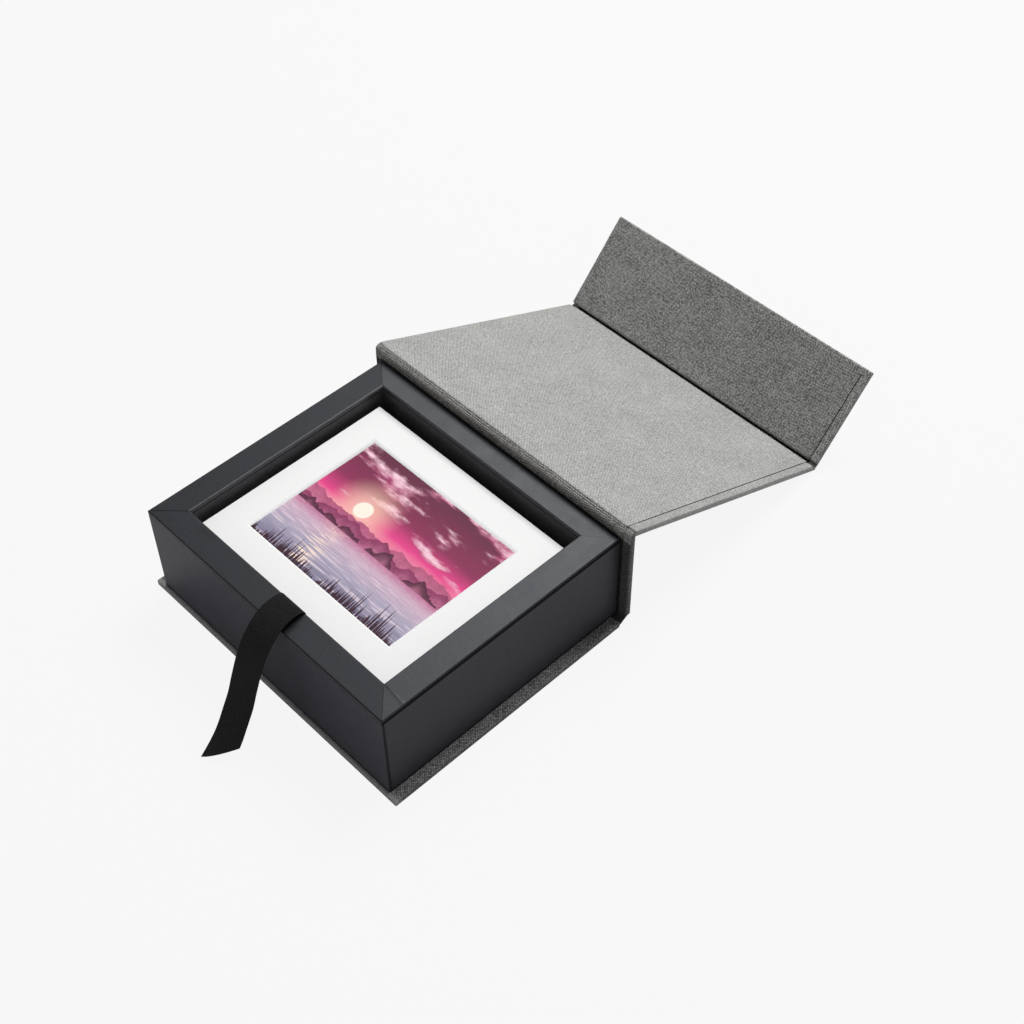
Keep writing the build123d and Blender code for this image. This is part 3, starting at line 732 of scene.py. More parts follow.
# %% Base, spine and lid in cloth
spine_run = base_back - base_front
spine_start, spine_end = spine_run + 10 * mm, spine_run + 10 * mm + spine_high - spine_low
crest_run = 10.6 * mm
lid_start = spine_end + crest_run + 9.6 * mm
lid_end = lid_start + lid_far
base_cloth = wrapped("base_cloth", [
    (base_front, 0, -thick, 0), (base_back, 0, spine_run - thick, 0), (base_back, thick, spine_run, thick),
    (base_front, thick, 0, thick)], base_linen_shaded)
spine_cloth = wrapped("spine_cloth", [
    (spine_outer, spine_low, spine_start, 0), (spine_outer, spine_high, spine_end, 0, 0),
    (spine_inner, spine_high, spine_end, thick, 0),
    (spine_inner, spine_low, spine_start, thick)], spine_linen_shaded)
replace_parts(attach(base_cloth, "box"), "base_cover_cloth")
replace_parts(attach(spine_cloth, "box"), "spine_cover_cloth")
lid_cloth = wrapped("lid_cloth", [
    (*on_lid(lid_near, outer_face), lid_start, 0, 0), (*on_lid(lid_far, outer_face), lid_end, 0, 0),
    (*on_lid(lid_far, inner_face), lid_end + thick, thick),
    (*on_lid(lid_near, inner_face), lid_start + thick, thick, 0)], ends=side_linen_lit)
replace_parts(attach(lid_cloth, "lid"), "lid_cover_cloth")
print("cloth on the base, spine and lid", round(spine_inner / mm, 1), round(base_back / mm, 1))

# %% Flap in cloth
flap_start = lid_end + 9 * mm
flap_end = flap_start + flap_far
groove_floor = cloth + 0.1 * mm
flap_cloth = wrapped("flap_cloth", [
    (*on_lid(lid_far, outer_face), lid_end, 0, 0),
    (*on_lid(fold_to_fold, outer_face), flap_start - 4 * mm, 0, 1.2 * mm),
    (*on_flap(flap_near, outer_face), flap_start, 0, 0), (*on_flap(flap_far, outer_face), flap_end, 0),
    (*on_flap(flap_far, inner_face), flap_end + thick, thick),
    (*on_flap(flap_near, inner_face), flap_start + thick, thick),
    (*on_flap(flap_near, groove_floor), flap_start, thick, 0.4 * mm),
    (*on_lid(lid_far, groove_floor), lid_end, thick, 0)], flap_linen_shaded)
middle, fold_reach = (rise - lean) / 2, 1.0 * mm
across_fold = Vector((0, cos(middle), sin(middle))) * fold_reach
flap_fold = Vector((0, flap_y, flap_z))
flap_fold - across_fold
flap_fold + across_fold
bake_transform(flap_cloth)
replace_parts(flap_cloth, "flap_cover_cloth", "flap_hinge_cloth")
print("flap cloth", round((flap_far + 4 * mm) / mm), "mm from the fold to its free edge")

# %% [markdown]
# The lining is the same cloth on thin card, laid over the turned-in margins, so its cut edge stands a little
# proud, and the fine dark line along it is painted shade. It is a strip that follows a path in the YZ plane, a
# grid of quads thickened towards the board, and its rim gets the nearly black finish of painted shade.

# %% A sheet along a path
lining_rise = 0.35 * mm


def strip(name, path, half, columns=2, thickness=0.5 * mm, shape=None, materials=None,
          own_finish=None, slanted=0.0):
    """A sheet that follows a path of (y, z, along), from -half to half across."""
    stations = [-half + 2 * half * number / (columns - 1) for number in range(columns)]
    rows, weave_rows = [], []
    for number, (y, z, along) in enumerate(path):
        before, after = path[max(number - 1, 0)], path[min(number + 1, len(path) - 1)]
        normal = Vector((-(after[1] - before[1]), after[0] - before[0])).normalized()
        lifts = [shape(x, along) if shape else 0.0 for x in stations]
        rows.append([(x, y + normal[0] * lift, z + normal[1] * lift) for x, lift in zip(stations, lifts)])
        weave_rows.append([(x, along) for x in stations])
    return layered(name, rows, weave_rows, thickness, materials or [lining_cloth, cut_edge],
                   own_finish=own_finish, slanted=slanted)


def rounded_path(corners, radius, steps=5):
    """An open path with rounded corners. A corner is y, z and along, and may have its own radius."""
    path = [Vector(corners[0])]
    for before, here, after in zip(corners, corners[1:], corners[2:]):
        own = here[3] if len(here) > 3 else radius
        path += soft_corner(Vector(before[:3]), Vector(here[:3]), Vector(after[:3]), own, steps)
    return path + [Vector(corners[-1])]


print("sheets stand", lining_rise / mm, "mm proud of the margins")

# %% [markdown]
# At the foot of the spine the cloth runs on a slant from the base's board to the spine's, with
# nothing behind it. A strip of the same cloth closes it, a hair inside the cloth of both boards.

# %% Cloth at the foot of the spine
within, lap = 0.05 * mm, 2 * mm
foot_y = spine_outer - cloth - within
# Painted shade: the strip's cut rim and the lining at the foot are nearly black.
foot_cloth = strip("joint_cloth_foot", rounded_path([
    (base_back - lap, cloth + within, spine_run - lap), (base_back - 0.3 * mm, cloth + within, spine_run),
    (foot_y, spine_low + 0.3 * mm, spine_start), (foot_y, spine_low + lap, spine_start + lap)], 1.5 * mm),
    half_case - 0.8 * mm, thickness=cloth, materials=[spine_linen_shaded, painted_shade_linen])
foot_lining = strip("joint_lining_foot", [
    (base_back - 1 * mm, thick, spine_run), (spine_inner, spine_low + 1 * mm, spine_start)],
    half_lining, materials=[painted_shade_linen, painted_shade_linen])
for piece in (foot_cloth, foot_lining):
    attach(piece, "box")
print("foot of the spine", round((spine_outer - base_back) / mm, 1), "mm across")

# %% [markdown]
# Three linings lie flat. The base's lies under the tray and the spine's behind it, where they hardly
# show, and the lid's fills the lid between its margins.

# %% Flat linings
top = inner_face + lining_rise
base_turn_in, spine_paste = 12 * mm, 0.2 * mm
lining_line = [(base_front + base_turn_in, thick, 0), (base_back - lap, thick, spine_run)]
# Painted shade: the base's lining is in the base's darker copy.
base_lining = strip("base_lining_cloth", lining_line, half_case - base_turn_in, thickness=0.3 * mm,
                    materials=[base_linen_shaded, cut_edge])
# Painted shade: the spine's lining is nearly black.
spine_lining = strip("spine_lining_cloth", [
    (spine_inner - spine_paste, spine_low + 1 * mm, 0), (spine_inner - spine_paste, spine_high, spine_end)],
    half_lining, thickness=0.4 * mm, materials=[painted_shade_linen, painted_shade_linen])
lid_lining = strip("lid_lining_cloth", [
    (*on_lid(lid_near, top), lid_start), (*on_lid(lid_far - 1.2 * mm, top), lid_end)],
    half_lining, slanted=0.45 * mm)
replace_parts(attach(base_lining, "box"), "base_lining")
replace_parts(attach(spine_lining, "box"), "spine_lining")
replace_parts(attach(lid_lining, "lid"), "lid_lining")
print("lid's lining", round(2 * half_lining / mm), "mm wide")

# %% [markdown]
# Between spine and lid there is cloth and lining but no board. Open, they gather into a soft crest over the tray's
# back edge, with fine creases along the lid. It is made as two halves: one stays on the spine, the other goes with
# the lid.

# %% Crest between spine and lid
crest_back = 1.7 * mm
crest = on_lid(-crest_back, inner_face)
shoulder = (spine_inner + 0.25 * mm, spine_high + 6.3 * mm)
crease = (spine_outer, on_lid((cloth + cloth * sin(lean)) / cos(lean), outer_face)[1])
spine_side = wrapped("joint_cloth_spine_side", [
    (spine_outer, spine_high, spine_end, 0, 0), (*crease, spine_end + 5 * mm, 0, 0),
    (*crest, spine_end + crest_run, thick, 1.2 * mm), (*shoulder, spine_end + 6.4 * mm, thick, 1.5 * mm),
    (spine_inner, spine_high, spine_end, thick, 0)], crest_end_linen_shaded, ends=spine_linen_shaded)
lid_side = wrapped("joint_cloth_lid_side", [
    (*crease, spine_end + 5 * mm, 0, 0), (*on_lid(lid_near, outer_face), lid_start, 0, 0),
    (*on_lid(lid_near, inner_face), lid_start, thick, 0), (*crest, spine_end + crest_run, thick, 1.2 * mm)])
print("crest", round(crest[1] / mm, 1), "mm high")

# %% [markdown]
# The creases are painted darker, as painted shade, but they catch the light on one side only, so they are pressed
# into the mesh as well, in rows close enough to carry them. The lining is also painted nearly black where it
# leaves the spine and a little darker over the crest's front, as painted shade.

# %% Creases in the lining over the joint
creases = [(7.0 * mm, 0.22 * mm, 0.26 * mm), (8.2 * mm, 0.26 * mm, 0.24 * mm),
           (9.5 * mm, 0.22 * mm, 0.26 * mm)]
# Painted shade: bands darken the creases, blacken the lining where it leaves the spine and darken it a little over
# the crest's front.
crest_linen = linen("crest_lining", (0.72, 0.72, 0.69), (0.035, 0.035, 0.033), 1.05,
                    painted_light_and_shade=[(spine_end + place, 0.45 * mm, 0.25) for place, deep, wide in creases]
                    + [(spine_end, 1.25 * mm, 1.5), (spine_end + 1.8 * mm, 4.4 * mm, 0.26)])


def crease_lift(x, along):
    """How far the lining sinks in its creases, which wander a little. Each is a place along the
    crest, a depth and a width."""
    over = along - spine_end
    wander = 0.16 * mm * sin(x * 61) + 0.10 * mm * sin(x * 143 + 1)
    sunk = 0.0
    for place, deep, wide in creases:
        sunk += deep * 2.718 ** (-(((over - place - wander) / wide) ** 2))
    return -sunk


print("creases", len(creases))

# %% [markdown]
# The lining follows the crest's two halves. The half on the spine carries the creases, so its rows
# lie close together, and the half on the lid is smooth and needs only the rows of its bend.

# %% Lining over the crest
crest_top = on_lid(-crest_back - lining_rise * 0.6, top)
shoulder_top = (shoulder[0] - lining_rise, shoulder[1] + lining_rise * 0.6)
over_crest = rounded_path([(spine_inner - 0.2 * mm, spine_high, spine_end),
                           (*shoulder_top, spine_end + 6.4 * mm, 1.8 * mm),
                           (*crest_top, spine_end + crest_run, 1.8 * mm),
                           (*on_lid(lid_near, top), lid_start)], 1.6 * mm, 8)
split = min(range(len(over_crest)), key=lambda number: abs(over_crest[number][2] - spine_end - crest_run))
fine, row_gap = [], 0.12 * mm
for start, end in zip(over_crest[:split], over_crest[1:split + 1]):
    between = max(1, round((end[2] - start[2]) / row_gap))
    fine += [start + (end - start) * (number / between) for number in range(between)]
fine.append(over_crest[split])
lining_spine_side = strip("joint_lining_spine_side", fine, half_lining, columns=90, shape=crease_lift,
                          materials=[crest_linen, cut_edge])
lining_lid_side = strip("joint_lining_lid_side", over_crest[split:], half_lining)
for piece in (spine_side, lining_spine_side):
    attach(piece, "box")
    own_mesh(piece)
lid_edge = (0, *on_lid(lid_near, 0))
for piece, keep in ((lid_side, 0.85), (lining_lid_side, 0.42)):
    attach(piece, "lid")
    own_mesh(piece)
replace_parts(lining_spine_side, "lid_hinge_lining")
print("rows on the spine's half", len(fine), "and on the lid's", len(over_crest) - split)

# %% [markdown]
# Outside, one cloth runs from the spine over the joint to the lid. Its second and third rows lie one narrow step
# apart at the fold.

# %% Outer cloth of the spine's joint
skin_lap, skin_depth, skin_step = 3 * mm, 0.15 * mm, 0.05 * mm
skin_y, fold_height = spine_outer - skin_depth, crease[1] - 0.1 * mm
joint_skin = strip("joint_cloth_outside", [
    (*on_lid(lid_near + skin_lap, outer_face + skin_depth), spine_end + 17 * mm),
    (skin_y + 0.2 * mm, fold_height, spine_end + 7.1 * mm), (skin_y, fold_height, spine_end + 4.9 * mm),
    (skin_y, spine_high - skin_lap, spine_end - skin_lap)],
    half_case - 0.3 * mm, thickness=0.3 * mm, materials=[book_cloth, book_cloth])
skin_y + skin_step
skin_y + 3 * skin_step
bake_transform(joint_skin)
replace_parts(joint_skin, "lid_hinge_cloth")
print("joint skin", skin_depth / mm, "mm inside the cloth's face")

# %% [markdown]
# At the flap the lining is pressed down between the two boards with a bone folder, and makes a narrow groove whose
# floor is painted nearly black, as painted shade. It runs on up the flap in one sheet, which is drawn with a bend
# between lid and flap.

# %% Flap lining and groove
groove, groove_wall = groove_floor + 0.5 * mm, 0.45 * mm
flap_lining_path = rounded_path([
    (*on_lid(lid_far - 1.2 * mm, top), lid_end),
    (*on_lid(lid_far + groove_wall, top), lid_end + 2 * mm, 1.0 * mm),
    (*on_lid(lid_far + groove_wall, groove), lid_end + 5 * mm, 0.4 * mm),
    (*on_flap(flap_near - groove_wall, groove), lid_end + 7 * mm, 0.4 * mm),
    (*on_flap(flap_near - groove_wall, top), lid_end + 10 * mm, 2.0 * mm),
    (*on_flap(flap_far - 4 * mm, top), lid_end + 10 * mm + flap_far)], 0.5 * mm)
# Painted shade: the rows in the groove get the nearly black finish.
groove_rows = [number for number, point in enumerate(flap_lining_path)
               if abs(point[2] - lid_end - 6 * mm) < 1.6 * mm]
flap_lining = strip("flap_lining_cloth", flap_lining_path, half_lining, materials=[flap_linen_shaded, cut_edge],
                    own_finish=lambda row: int(row in groove_rows), slanted=0.7 * mm)
flap_fold - across_fold
flap_fold + across_fold
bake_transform(flap_lining)
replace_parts(flap_lining, "flap_lining", "flap_hinge_lining")
print("groove", round((top - groove) / mm, 1), "mm deep")

# %% [markdown]
# At a corner the cloth is cut off, the side is turned in first, and the front edge is folded over it.
# The fold runs from the board's corner to the lining's corner and is one cloth higher on one side.

# %% Turned corners
turn_rise = 0.18 * mm


def turned_edge(name, place, own_cloth, body):
    """The last turn-in, a thin strip with mitred ends. place(along, above) gives y and z."""
    reach, inner = half_case - edge_round, margin + 0.1 * mm
    corners = ((-reach, edge_round), (reach, edge_round), (reach - inner + edge_round, inner),
               (-reach + inner - edge_round, inner))
    points = [(x, *place(along, above)) for above in (0.0, turn_rise) for x, along in corners]
    faces = [(4, 5, 6, 7), (0, 1, 5, 4), (1, 2, 6, 5), (2, 3, 7, 6), (3, 0, 4, 7)]
    weave = [[(points[n][0], corners[n % 4][1]) for n in face] for face in faces]
    # Painted shade: the strip's mitred ends are nearly black.
    strip_piece = add_piece(name, points, faces, weave, [own_cloth, cut_edge], [0, 0, 1, 0, 1])
    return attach(strip_piece, body)


turned_edge("base_front_turn_in", lambda along, above: (base_front + along, thick + above), base_linen_shaded, "box")
turned_edge("flap_turn_in", lambda along, above: on_flap(flap_far - along, inner_face + above),
            flap_linen_shaded, "flap")
print("turned corners, one cloth higher by", turn_rise / mm, "mm")

# %% [markdown]
# The tray's rim is four mitred boards, each wrapped in its own paper. A side is drawn as a closed outline across
# its width, with rounded top edges, and drawn out between its two mitres. Its edges are painted paler in places,
# most of all on the front side, as painted highlights, and a thin nearly black seam is painted where the rim meets
# the walls and the well, as painted shade. At each mitre the two papers dip into a fine groove, painted nearly
# black as painted shade.

# %% Outline across one side of the rim
rim_low, rim_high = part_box("rim_paper_right")[0].z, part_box("rim_paper_right")[1].z
rim_width = {"front": 17 * mm, "right": 17.5 * mm, "back": 14.5 * mm, "left": 17.5 * mm}
own, dark, wall, painted_highlight, front_painted_light = range(5)
curl, front_curl, seam = 0.9 * mm, 0.5 * mm, 0.9 * mm
quarter = [pi / 2 * step / 4 for step in range(5)]


def rim_outline(side):
    """The outline across one side: (share of the width from the outer edge, height, finish)."""
    tall, width = rim_high - rim_low, rim_width[side]
    # Painted highlight: the left side's inner face is paler, and so is the rounded inner edge of the right, back
    # and left sides.
    face = painted_highlight if side == "left" else own
    if side == "front":
        # Painted highlights: on the front side, a pale band under the rim's top edge and the rounded inner edge,
        # with a line of painted shade between the band and the edge.
        outer_curl, inner_line = front_curl, front_painted_light
        outline = [(0.0, 0.0, wall), (0.0, tall - outer_curl - 1.05 * mm, front_painted_light),
                   (0.0, tall - outer_curl - 0.5 * mm, dark), (0.0, tall - outer_curl - 0.02 * mm, own)]
    else:
        outer_curl, inner_line = curl, painted_highlight
        # Painted shade: on the right, back and left sides the outer face is nearly black.
        outline = [(0.0, 0.0, dark), (0.0, 1.3 * mm, dark), (0.0, tall - curl - 0.2 * mm, dark),
                   (0.0, tall - curl, own)]
    outline += [(outer_curl * (1 - cos(bend)), tall - outer_curl * (1 - sin(bend)), own)
                for bend in quarter[1:]]
    outline += [(outer_curl + held_off, tall, own), (width - curl - held_off, tall, face)]
    outline += [(width - curl * (1 - sin(bend)), tall - curl * (1 - cos(bend)),
                 inner_line if number > 1 else face) for number, bend in enumerate(quarter)]
    # Painted shade: a nearly black seam at the foot of the inner face.
    outline += [(width, tall - curl - held_off, face), (width, seam + 0.05 * mm, dark),
                (width - 0.25 * mm, seam, dark), (width - 0.25 * mm, 0.0, dark)]
    return [(place / width, height, kind) for place, height, kind in outline]


print("rim", round((rim_high - rim_low) / mm, 2), "mm thick")

# %% Paper round the rim's boards
rim_inner_x = half_tray - rim_width["right"]
rim_inner_front, rim_inner_back = tray_front + rim_width["front"], tray_back - rim_width["back"]
inner_corners = [(-rim_inner_x, rim_inner_front), (rim_inner_x, rim_inner_front),
                 (rim_inner_x, rim_inner_back), (-rim_inner_x, rim_inner_back)]
outer_corners = [(-half_tray, tray_front), (half_tray, tray_front), (half_tray, tray_back),
                 (-half_tray, tray_back)]
front_mitre, back_mitre = (0.22 * mm, 0.25 * mm), (0.08 * mm, 0.09 * mm)
for number, side in enumerate(rim_width):
    ends = [(Vector(outer_corners[n % 4]), Vector(inner_corners[n % 4])) for n in (number, number + 1)]
    outline = rim_outline(side)
    count = len(outline)
    way = (ends[1][0] - ends[0][0]).normalized()
    points = []
    for end, inward, groove_share in ((0, 0, 1), (0, 1, 0), (1, -1, 0), (1, 0, 1)):
        outer, inner = ends[end]
        wide, deep = front_mitre if outer.y < 0 else back_mitre
        for share, height, kind in outline:
            place = outer + (inner - outer) * share + way * (inward * wide)
            drop = groove_share * deep if height > 1.5 * mm else 0.0
            points.append((place.x, place.y, rim_low + height - drop))
    faces = [(ring * count + n, (ring + 1) * count + n, (ring + 1) * count + (n + 1) % count,
              ring * count + (n + 1) % count) for ring in range(3) for n in range(count)]
    faces += [tuple(range(count)), tuple(reversed(range(3 * count, 4 * count)))]
    # Painted shade: the mitre rings and end caps are nearly black.
    finishes = [kind if ring == 1 else dark for ring in range(3) for share, height, kind in outline]
    weave = [[(points[n][0], points[n][1]) for n in face] for face in faces]
    # Painted shade: the front and left sides get the darker, duller copy.
    own_paper = rim_paper if side in ("right", "back") else rim_dull_shaded
    papers = [own_paper, edge_paper, wall_paper, worn_paper, rubbed_paper]
    rim_side = add_piece("rim_wrap_" + side, points, faces, weave, papers,
                         finishes + [dark] * 2)
    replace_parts(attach(rim_side, "box"), "rim_paper_" + side)
print("rim sides", ", ".join(rim_width))

# %% [markdown]
# The outer walls are covered in one long paper. At the front right corner its end is turned round the corner and
# lies as a thin band on the right wall, painted darker than the wall as painted shade, and a nearly black band of
# painted shade runs along the foot of the front, right and left walls.

# %% Painted shade at the corner and the foot
def wall_band(name, outline, out, thickness=0.15 * mm, material=None):
    """A thin flat band on a wall, from its corners, out from the wall."""
    out = Vector(out) * thickness
    points = [Vector(corner) for corner in outline] + [Vector(corner) + out for corner in outline]
    faces = [(4, 5, 6, 7)] + [(n, (n + 1) % 4, (n + 1) % 4 + 4, n + 4) for n in range(4)]
    weave = [[(points[n].y, points[n].z) for n in face] for face in faces]
    band = add_piece(name, points, faces, weave, [material or edge_paper])
    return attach(band, "box")


foot_low, foot_high = thick - 0.1 * mm, thick + 0.7 * mm
turn_corners = [(tray_front - 0.1 * mm, foot_low), (tray_front + 2.0 * mm, foot_low),
                (tray_front + 1.4 * mm, rim_low), (tray_front - 0.1 * mm, rim_low)]
# Painted shade: the band round the corner is darker than the wall paper.
wall_band("wall_paper_turn", [(half_tray, *corner) for corner in turn_corners], (1, 0, 0),
          material=turned_paper)
# Painted shade: nearly black bands at the foot of the walls.
for side, number, out, thickness in (("front", 0, (0, -1, 0), 0.15 * mm), ("right", 1, (1, 0, 0), 0.25 * mm),
                                     ("left", 3, (-1, 0, 0), 0.15 * mm)):
    near, far = outer_corners[number], outer_corners[(number + 1) % 4]
    band_corners = [(*near, foot_low), (*far, foot_low), (*far, foot_high), (*near, foot_high)]
    wall_band("wall_foot_" + side, band_corners, out, thickness)
print("bands at the foot", round((foot_high - thick) / mm, 1), "mm high")

# %% [markdown]
# At the front right corner the right side's paper was cut a little short, and a small triangle of the
# front side's paper overlaps it, one sheet higher, with its edge slightly raised.

# %% Corner paper on the rim
paper_rise, corner_width, corner_reach = 0.12 * mm, rim_width["right"], rim_width["front"]
raised_edge = ((0.0, 0.6), (0.03, 1.9), (0.08, 2.2), (0.16, 1.3), (0.28, 1.0), (1.0, 1.0))
profile = [(0.5 * mm, 0.0)] + [(corner_width * step / 6, 0.0) for step in range(1, 6)]
profile += [(corner_width - curl - held_off, 0.0)]
for step in range(6):
    bend = pi / 2 * step / 5
    profile.append((corner_width - curl * (1 - sin(bend)), -curl * (1 - cos(bend))))
rows = []
for out, height in profile:
    bend_share = min(max((out - corner_width + curl) / curl, 0.0), 1.0)
    row = []
    for side, rise_share in raised_edge:
        along, lift = side * out / corner_width * corner_reach * 0.995, paper_rise * rise_share
        row.append((rim_inner_x + out + lift * bend_share, rim_inner_front - along,
                    rim_top + height + lift * (1 - bend_share)))
    rows.append(row)
corner_paper = layered("rim_corner_front_right", rows, [[(0, 0)] * len(raised_edge) for row in rows],
                       paper_rise * 0.8, [rim_paper, rim_paper])
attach(corner_paper, "box")
print("corner paper", paper_rise / mm, "mm proud")

# %% [markdown]
# The top mat's window is cut at 45 degrees. A plain frame of faces would shade the wide flats and
# the bevel as one soft form, so the mat is drawn again with a narrow flat band round its window.

# %% Top mat
mat_low, mat_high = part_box("window_mat_1")
mat_middle, mat_thick = (mat_low + mat_high) / 2, mat_high.z - mat_low.z
outer_x, outer_y = (mat_high.x - mat_low.x) / 2, (mat_high.y - mat_low.y) / 2
window_x, window_y = window_width / 2, window_depth / 2


def mat_ring(half_x, half_y, z):
    """Four corners round the mat's middle."""
    signs = ((-1, -1), (1, -1), (1, 1), (-1, 1))
    return [(mat_middle.x + a * half_x, mat_middle.y + b * half_y, z) for a, b in signs]


rings = [mat_ring(window_x, window_y, mat_low.z), mat_ring(outer_x, outer_y, mat_low.z),
         mat_ring(outer_x, outer_y, mat_high.z)]
rings += [mat_ring(window_x + mat_thick + band, window_y + mat_thick + band, mat_high.z)
          for band in (0.35 * mm, 0.0)]
points = [corner for ring in rings for corner in ring]
faces = [(ring * 4 + n, ring * 4 + (n + 1) % 4, (ring + 1) % 5 * 4 + (n + 1) % 4, (ring + 1) % 5 * 4 + n)
         for ring in range(5) for n in range(4)]
faces = [face[::-1] for face in faces]
weave = [[(points[n][0], points[n][1]) for n in face] for face in faces]
top_mat = add_piece("top_window_mat", points, faces, weave, [mat_board])
top_mat.data.set_sharp_from_angle(angle=radians(60))
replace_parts(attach(top_mat, "matted_print_1"), "window_mat_1")
print("top mat", round(2 * outer_x / mm), "x", round(2 * outer_y / mm), "mm")

# %% [markdown]
# The ribbon is glued to the tray's floor, runs forward under the pile, rises inside the front wall, springs over
# the rim and hangs down to the table, where its end is cut at a slant. It is one ribbon in three lengths. Its line
# is a smooth curve through a few places, and its columns of points stay evenly spaced along it.

# %% Smooth lines for the ribbon
ribbon_width, ribbon_thick = 19.05 * mm, 0.32 * mm
ribbon_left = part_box("ribbon_lift")[0].x
well_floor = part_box("ribbon_lift")[0].z
wall_face = rim_inner_front + 0.3 * mm
skew = radians(6.8)
columns, under_steps, over_steps = 7, 70, 130


def smooth_line(knots, count):
    """Points along a smooth curve through knots of (distance, height), evenly spaced."""
    line = []
    for number in range(len(knots) - 1):
        a, b, c, d = [Vector(knots[min(max(number + k, 0), len(knots) - 1)]) for k in (-1, 0, 1, 2)]
        for step in range(16):
            f = step / 16
            line.append(0.5 * ((2 * b) + (c - a) * f + (2 * a - 5 * b + 4 * c - d) * f ** 2
                               + (3 * b - a - 3 * c + d) * f ** 3))
    line.append(Vector(knots[-1]))
    runs = [0.0]
    for a, b in zip(line, line[1:]):
        runs.append(runs[-1] + (b - a).length)
    even, at = [], 0
    for number in range(count + 1):
        want = runs[-1] * number / count
        while at < len(runs) - 2 and runs[at + 1] < want:
            at += 1
        share = (want - runs[at]) / max(runs[at + 1] - runs[at], 1e-9)
        even.append(line[at] + (line[at + 1] - line[at]) * share)
    return even, runs[-1]


def ribbon_length(name, rows, starts):
    """A length of ribbon from rows of points across it. starts is how far along the ribbon they lie."""
    weave_rows = [[(ribbon_width * c / (columns - 1), start[c]) for c in range(columns)] for start in starts]
    return layered(name, rows, weave_rows, ribbon_thick, [ribbon_cloth], lifted=0.5)


print("ribbon", ribbon_width / mm, "mm wide")

# %% Ribbon under the pile
floor_line = well_floor + 0.25 * mm
under_knots = [(45 * mm, floor_line), (-30 * mm, floor_line), (wall_face + 3 * mm, floor_line),
               (wall_face + 0.4 * mm, well_floor + 1.4 * mm), (wall_face, well_floor + 5 * mm),
               (wall_face, 40 * mm), (wall_face, rim_top - 2 * mm)]
line, under_length = smooth_line(under_knots, under_steps)
rows = [[(ribbon_left + ribbon_width * c / (columns - 1), p[0], p[1]) for c in range(columns)] for p in line]
starts = [[under_length * number / under_steps] * columns for number in range(under_steps + 1)]
ribbon_under = ribbon_length("ribbon_under_pile", rows, starts)
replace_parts(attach(ribbon_under, "box"), "ribbon_lift")
print("under the pile", round(under_length / mm, 1), "mm")

# %% Ribbon over the rim
over_knots = [(-0.35, -2.4), (-0.15, -0.4), (0.7, 1.1), (3.0, 2.5), (7.0, 3.8), (11.7, 4.4), (17.1, 4.1),
              (22, 1.9), (27, -1.6), (33, -7.6), (38, -15.3), (44.3, -28.5), (48.5, -38), (54, -47),
              (60.4, -57), (67, -64.0), (75.5, -70.6)]
out = Vector((sin(skew), -cos(skew), 0))
origin = Vector((ribbon_left, rim_inner_front, 0))


def hanging(distance, height, share):
    """A point of the ribbon, from its distance out from the rim's inner edge, its height and its share
    across. It leaves the well square to the wall and turns to its own way over the rim."""
    turned = skew * min(max(distance / (12 * mm), 0.0), 1.0)
    over = Vector((cos(turned), sin(turned), 0))
    return origin + out * distance + over * (ribbon_width * share) + Vector((0, 0, height))


line, whole_length = smooth_line([(out_by * mm, rim_top + up * mm) for out_by, up in over_knots], over_steps)
turn = min(range(over_steps + 1), key=lambda number: abs(line[number][0] - rim_width["front"] - 0.1 * mm))
over_length = whole_length * turn / over_steps
rows = [[hanging(p[0], p[1], c / (columns - 1)) for c in range(columns)] for p in line[:turn + 1]]
starts = [[under_length + whole_length * number / over_steps] * columns for number in range(turn + 1)]
over_rim = ribbon_length("ribbon_over_rim", rows, starts)
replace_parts(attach(over_rim, "box"), "ribbon_tail")
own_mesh(over_rim)
print("over the rim", round(over_length / mm, 1), "mm")

# %% Ribbon's hanging end
line = line[turn:]
last = len(line) - 1
tail_length, slant = whole_length - over_length, 17.0 * mm
rows, starts = [], []
for number in range(last + 1):
    row, start = [], []
    for c in range(columns):
        share = c / (columns - 1)
        reach = (1 - slant * share ** 1.2 / tail_length) * number
        low = min(int(reach), last - 1)
        p = line[low] + (line[low + 1] - line[low]) * (reach - low)
        row.append(hanging(p[0], p[1], share))
        start.append(under_length + over_length + tail_length * reach / last)
    rows.append(row)
    starts.append(start)
tail = ribbon_length("ribbon_tail_end", rows, starts)
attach(tail, "box")
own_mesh(tail)
ribbon_width * (tail_length - slant / 2)
print("ribbon", round((under_length + whole_length) / mm), "mm long, tail", round(tail_length / mm))

# %% [markdown]
# The stage is a wide pale floor. It is lit softly from behind and above, a little from the left, so
# that the lid glows, the flap and the front walls stay in their own shade, and the rim of the well
# shades the mat. The floor shows nearly white to the camera and still keeps the object's shadow.

# %% Floor
floor_size = 12.0
floor_mesh = bpy.data.meshes.new("floor")
floor_corners = [(a * floor_size, b * floor_size, 0) for a, b in ((-1, -1), (1, -1), (1, 1), (-1, 1))]
floor_mesh.from_pydata(floor_corners, [], [(0, 1, 2, 3)])
floor = bpy.data.objects.new("floor", floor_mesh)
floor.location.z = -0.0004
bpy.context.scene.collection.objects.link(floor)
floor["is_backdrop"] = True
floor_glow, glow_share = (0.965, 0.965, 0.965), 0.93
floor_finish, wire, shader = finish("floor", (0.62, 0.62, 0.62), 0.9)
path = wire.node("LightPath", output="Is Camera Ray")
glow = wire.node("Emission", {}, {"Color": floor_glow, "Strength": 1.0})
shown = wire.node("MixShader", {}, {0: path * glow_share, 1: Wire(wire.tree, shader.outputs[0]), 2: glow})
wire.tree.links.new(shown.socket, wire.tree.nodes["Material Output"].inputs["Surface"])
floor_mesh.materials.append(floor_finish)
print("floor", 2 * floor_size, "m wide")

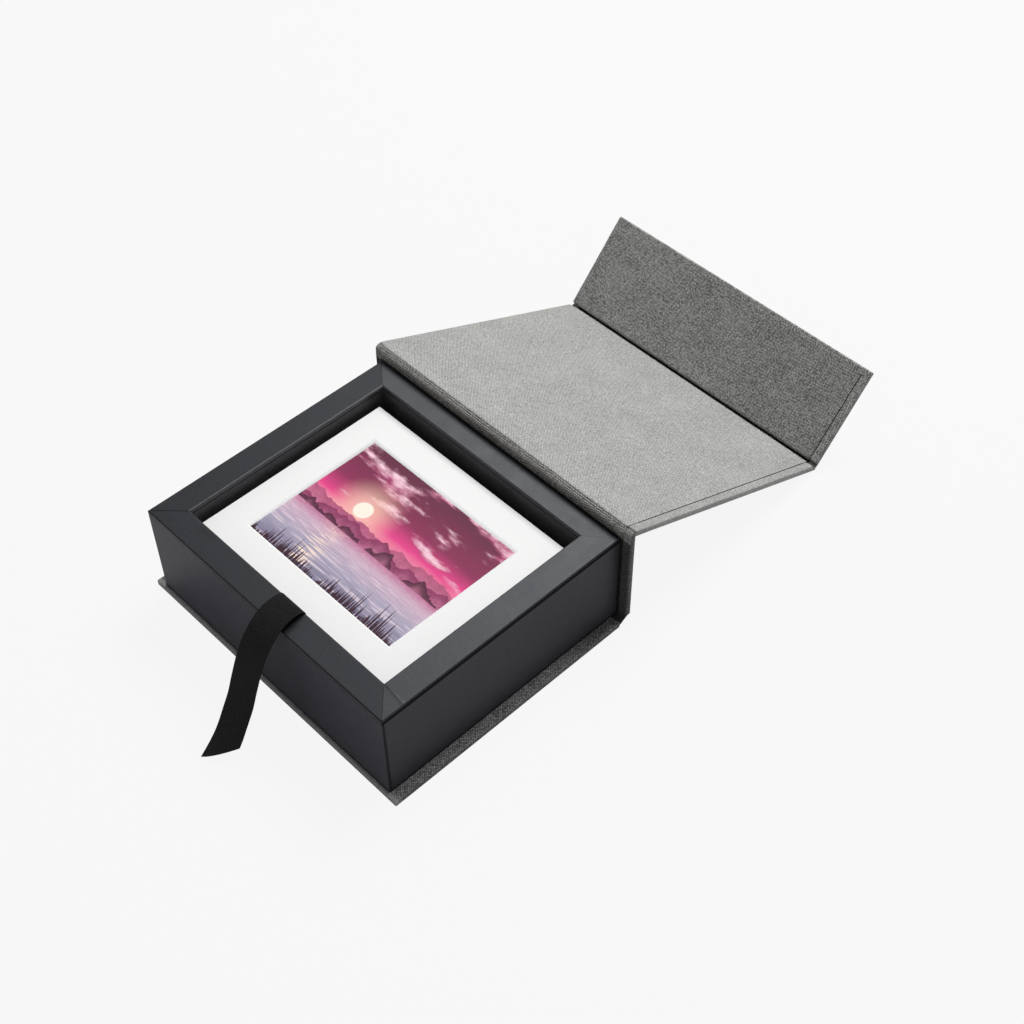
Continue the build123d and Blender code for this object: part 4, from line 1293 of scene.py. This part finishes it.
# %% [markdown]
# The world gives an even, low light from all round. It shows its pale colour only to the camera, in
# reflections and through anything clear. One large lamp stands for a window. A second lamp acts
# only through reflections: it gives the black paper its sheen without adding to the matt light.

# %% World
background, even_light = (0.93, 0.93, 0.93), 0.27
world = bpy.data.worlds.new("studio")
bpy.context.scene.world = world
world.use_nodes = True
tree = Wire(world.node_tree)
rays = [tree.node("LightPath", output=f"Is {kind} Ray") for kind in ("Camera", "Glossy", "Transmission")]
seen = rays[0].math("MAXIMUM", rays[1]).math("MAXIMUM", rays[2])
ambient = tree.node("Background", {}, {"Color": (1.0, 1.0, 1.0), "Strength": even_light})
backdrop = tree.node("Background", {}, {"Color": background, "Strength": 1.0})
sky_mix = tree.node("MixShader", {}, {0: seen, 1: ambient, 2: backdrop})
world.node_tree.links.new(sky_mix.socket, world.node_tree.nodes["World Output"].inputs["Surface"])
print("even light", even_light)

# %% Lamps
def soft_light(name, place, aim, size, power):
    """A square lamp at a place, turned to its aim."""
    lamp = bpy.data.lights.new(name, "AREA")
    lamp.size, lamp.energy = size, power
    lit = bpy.data.objects.new(name, lamp)
    lit.location = place
    lit.rotation_euler = (Vector(aim) - Vector(place)).to_track_quat("-Z", "Y").to_euler()
    bpy.context.scene.collection.objects.link(lit)
    return lit


soft_light("window_light", (-0.18, 1.36, 2.1), (0, 0.08, 0.03), 1.1, 54)
sheen_heading, sheen_height, sheen_distance = radians(130), radians(45), 2.4
sheen_place = (sheen_distance * cos(sheen_heading) * cos(sheen_height),
               sheen_distance * sin(sheen_heading) * cos(sheen_height), sheen_distance * sin(sheen_height))
sheen_light = soft_light("sheen_light", sheen_place, (0, 0, 0.05), 0.8, 21)
sheen_light.visible_diffuse = False
print("lit from behind, above and a little left")

# %% [markdown]
# The Standard view shows a colour about as it is written. The model's box is measured last, when every piece is in
# place, and printed.

# %% View settings and the model's box
bpy.context.scene.view_settings.view_transform = "Standard"
low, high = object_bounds()
print("visual box", [round(v, 4) for v in low], [round(v, 4) for v in high])
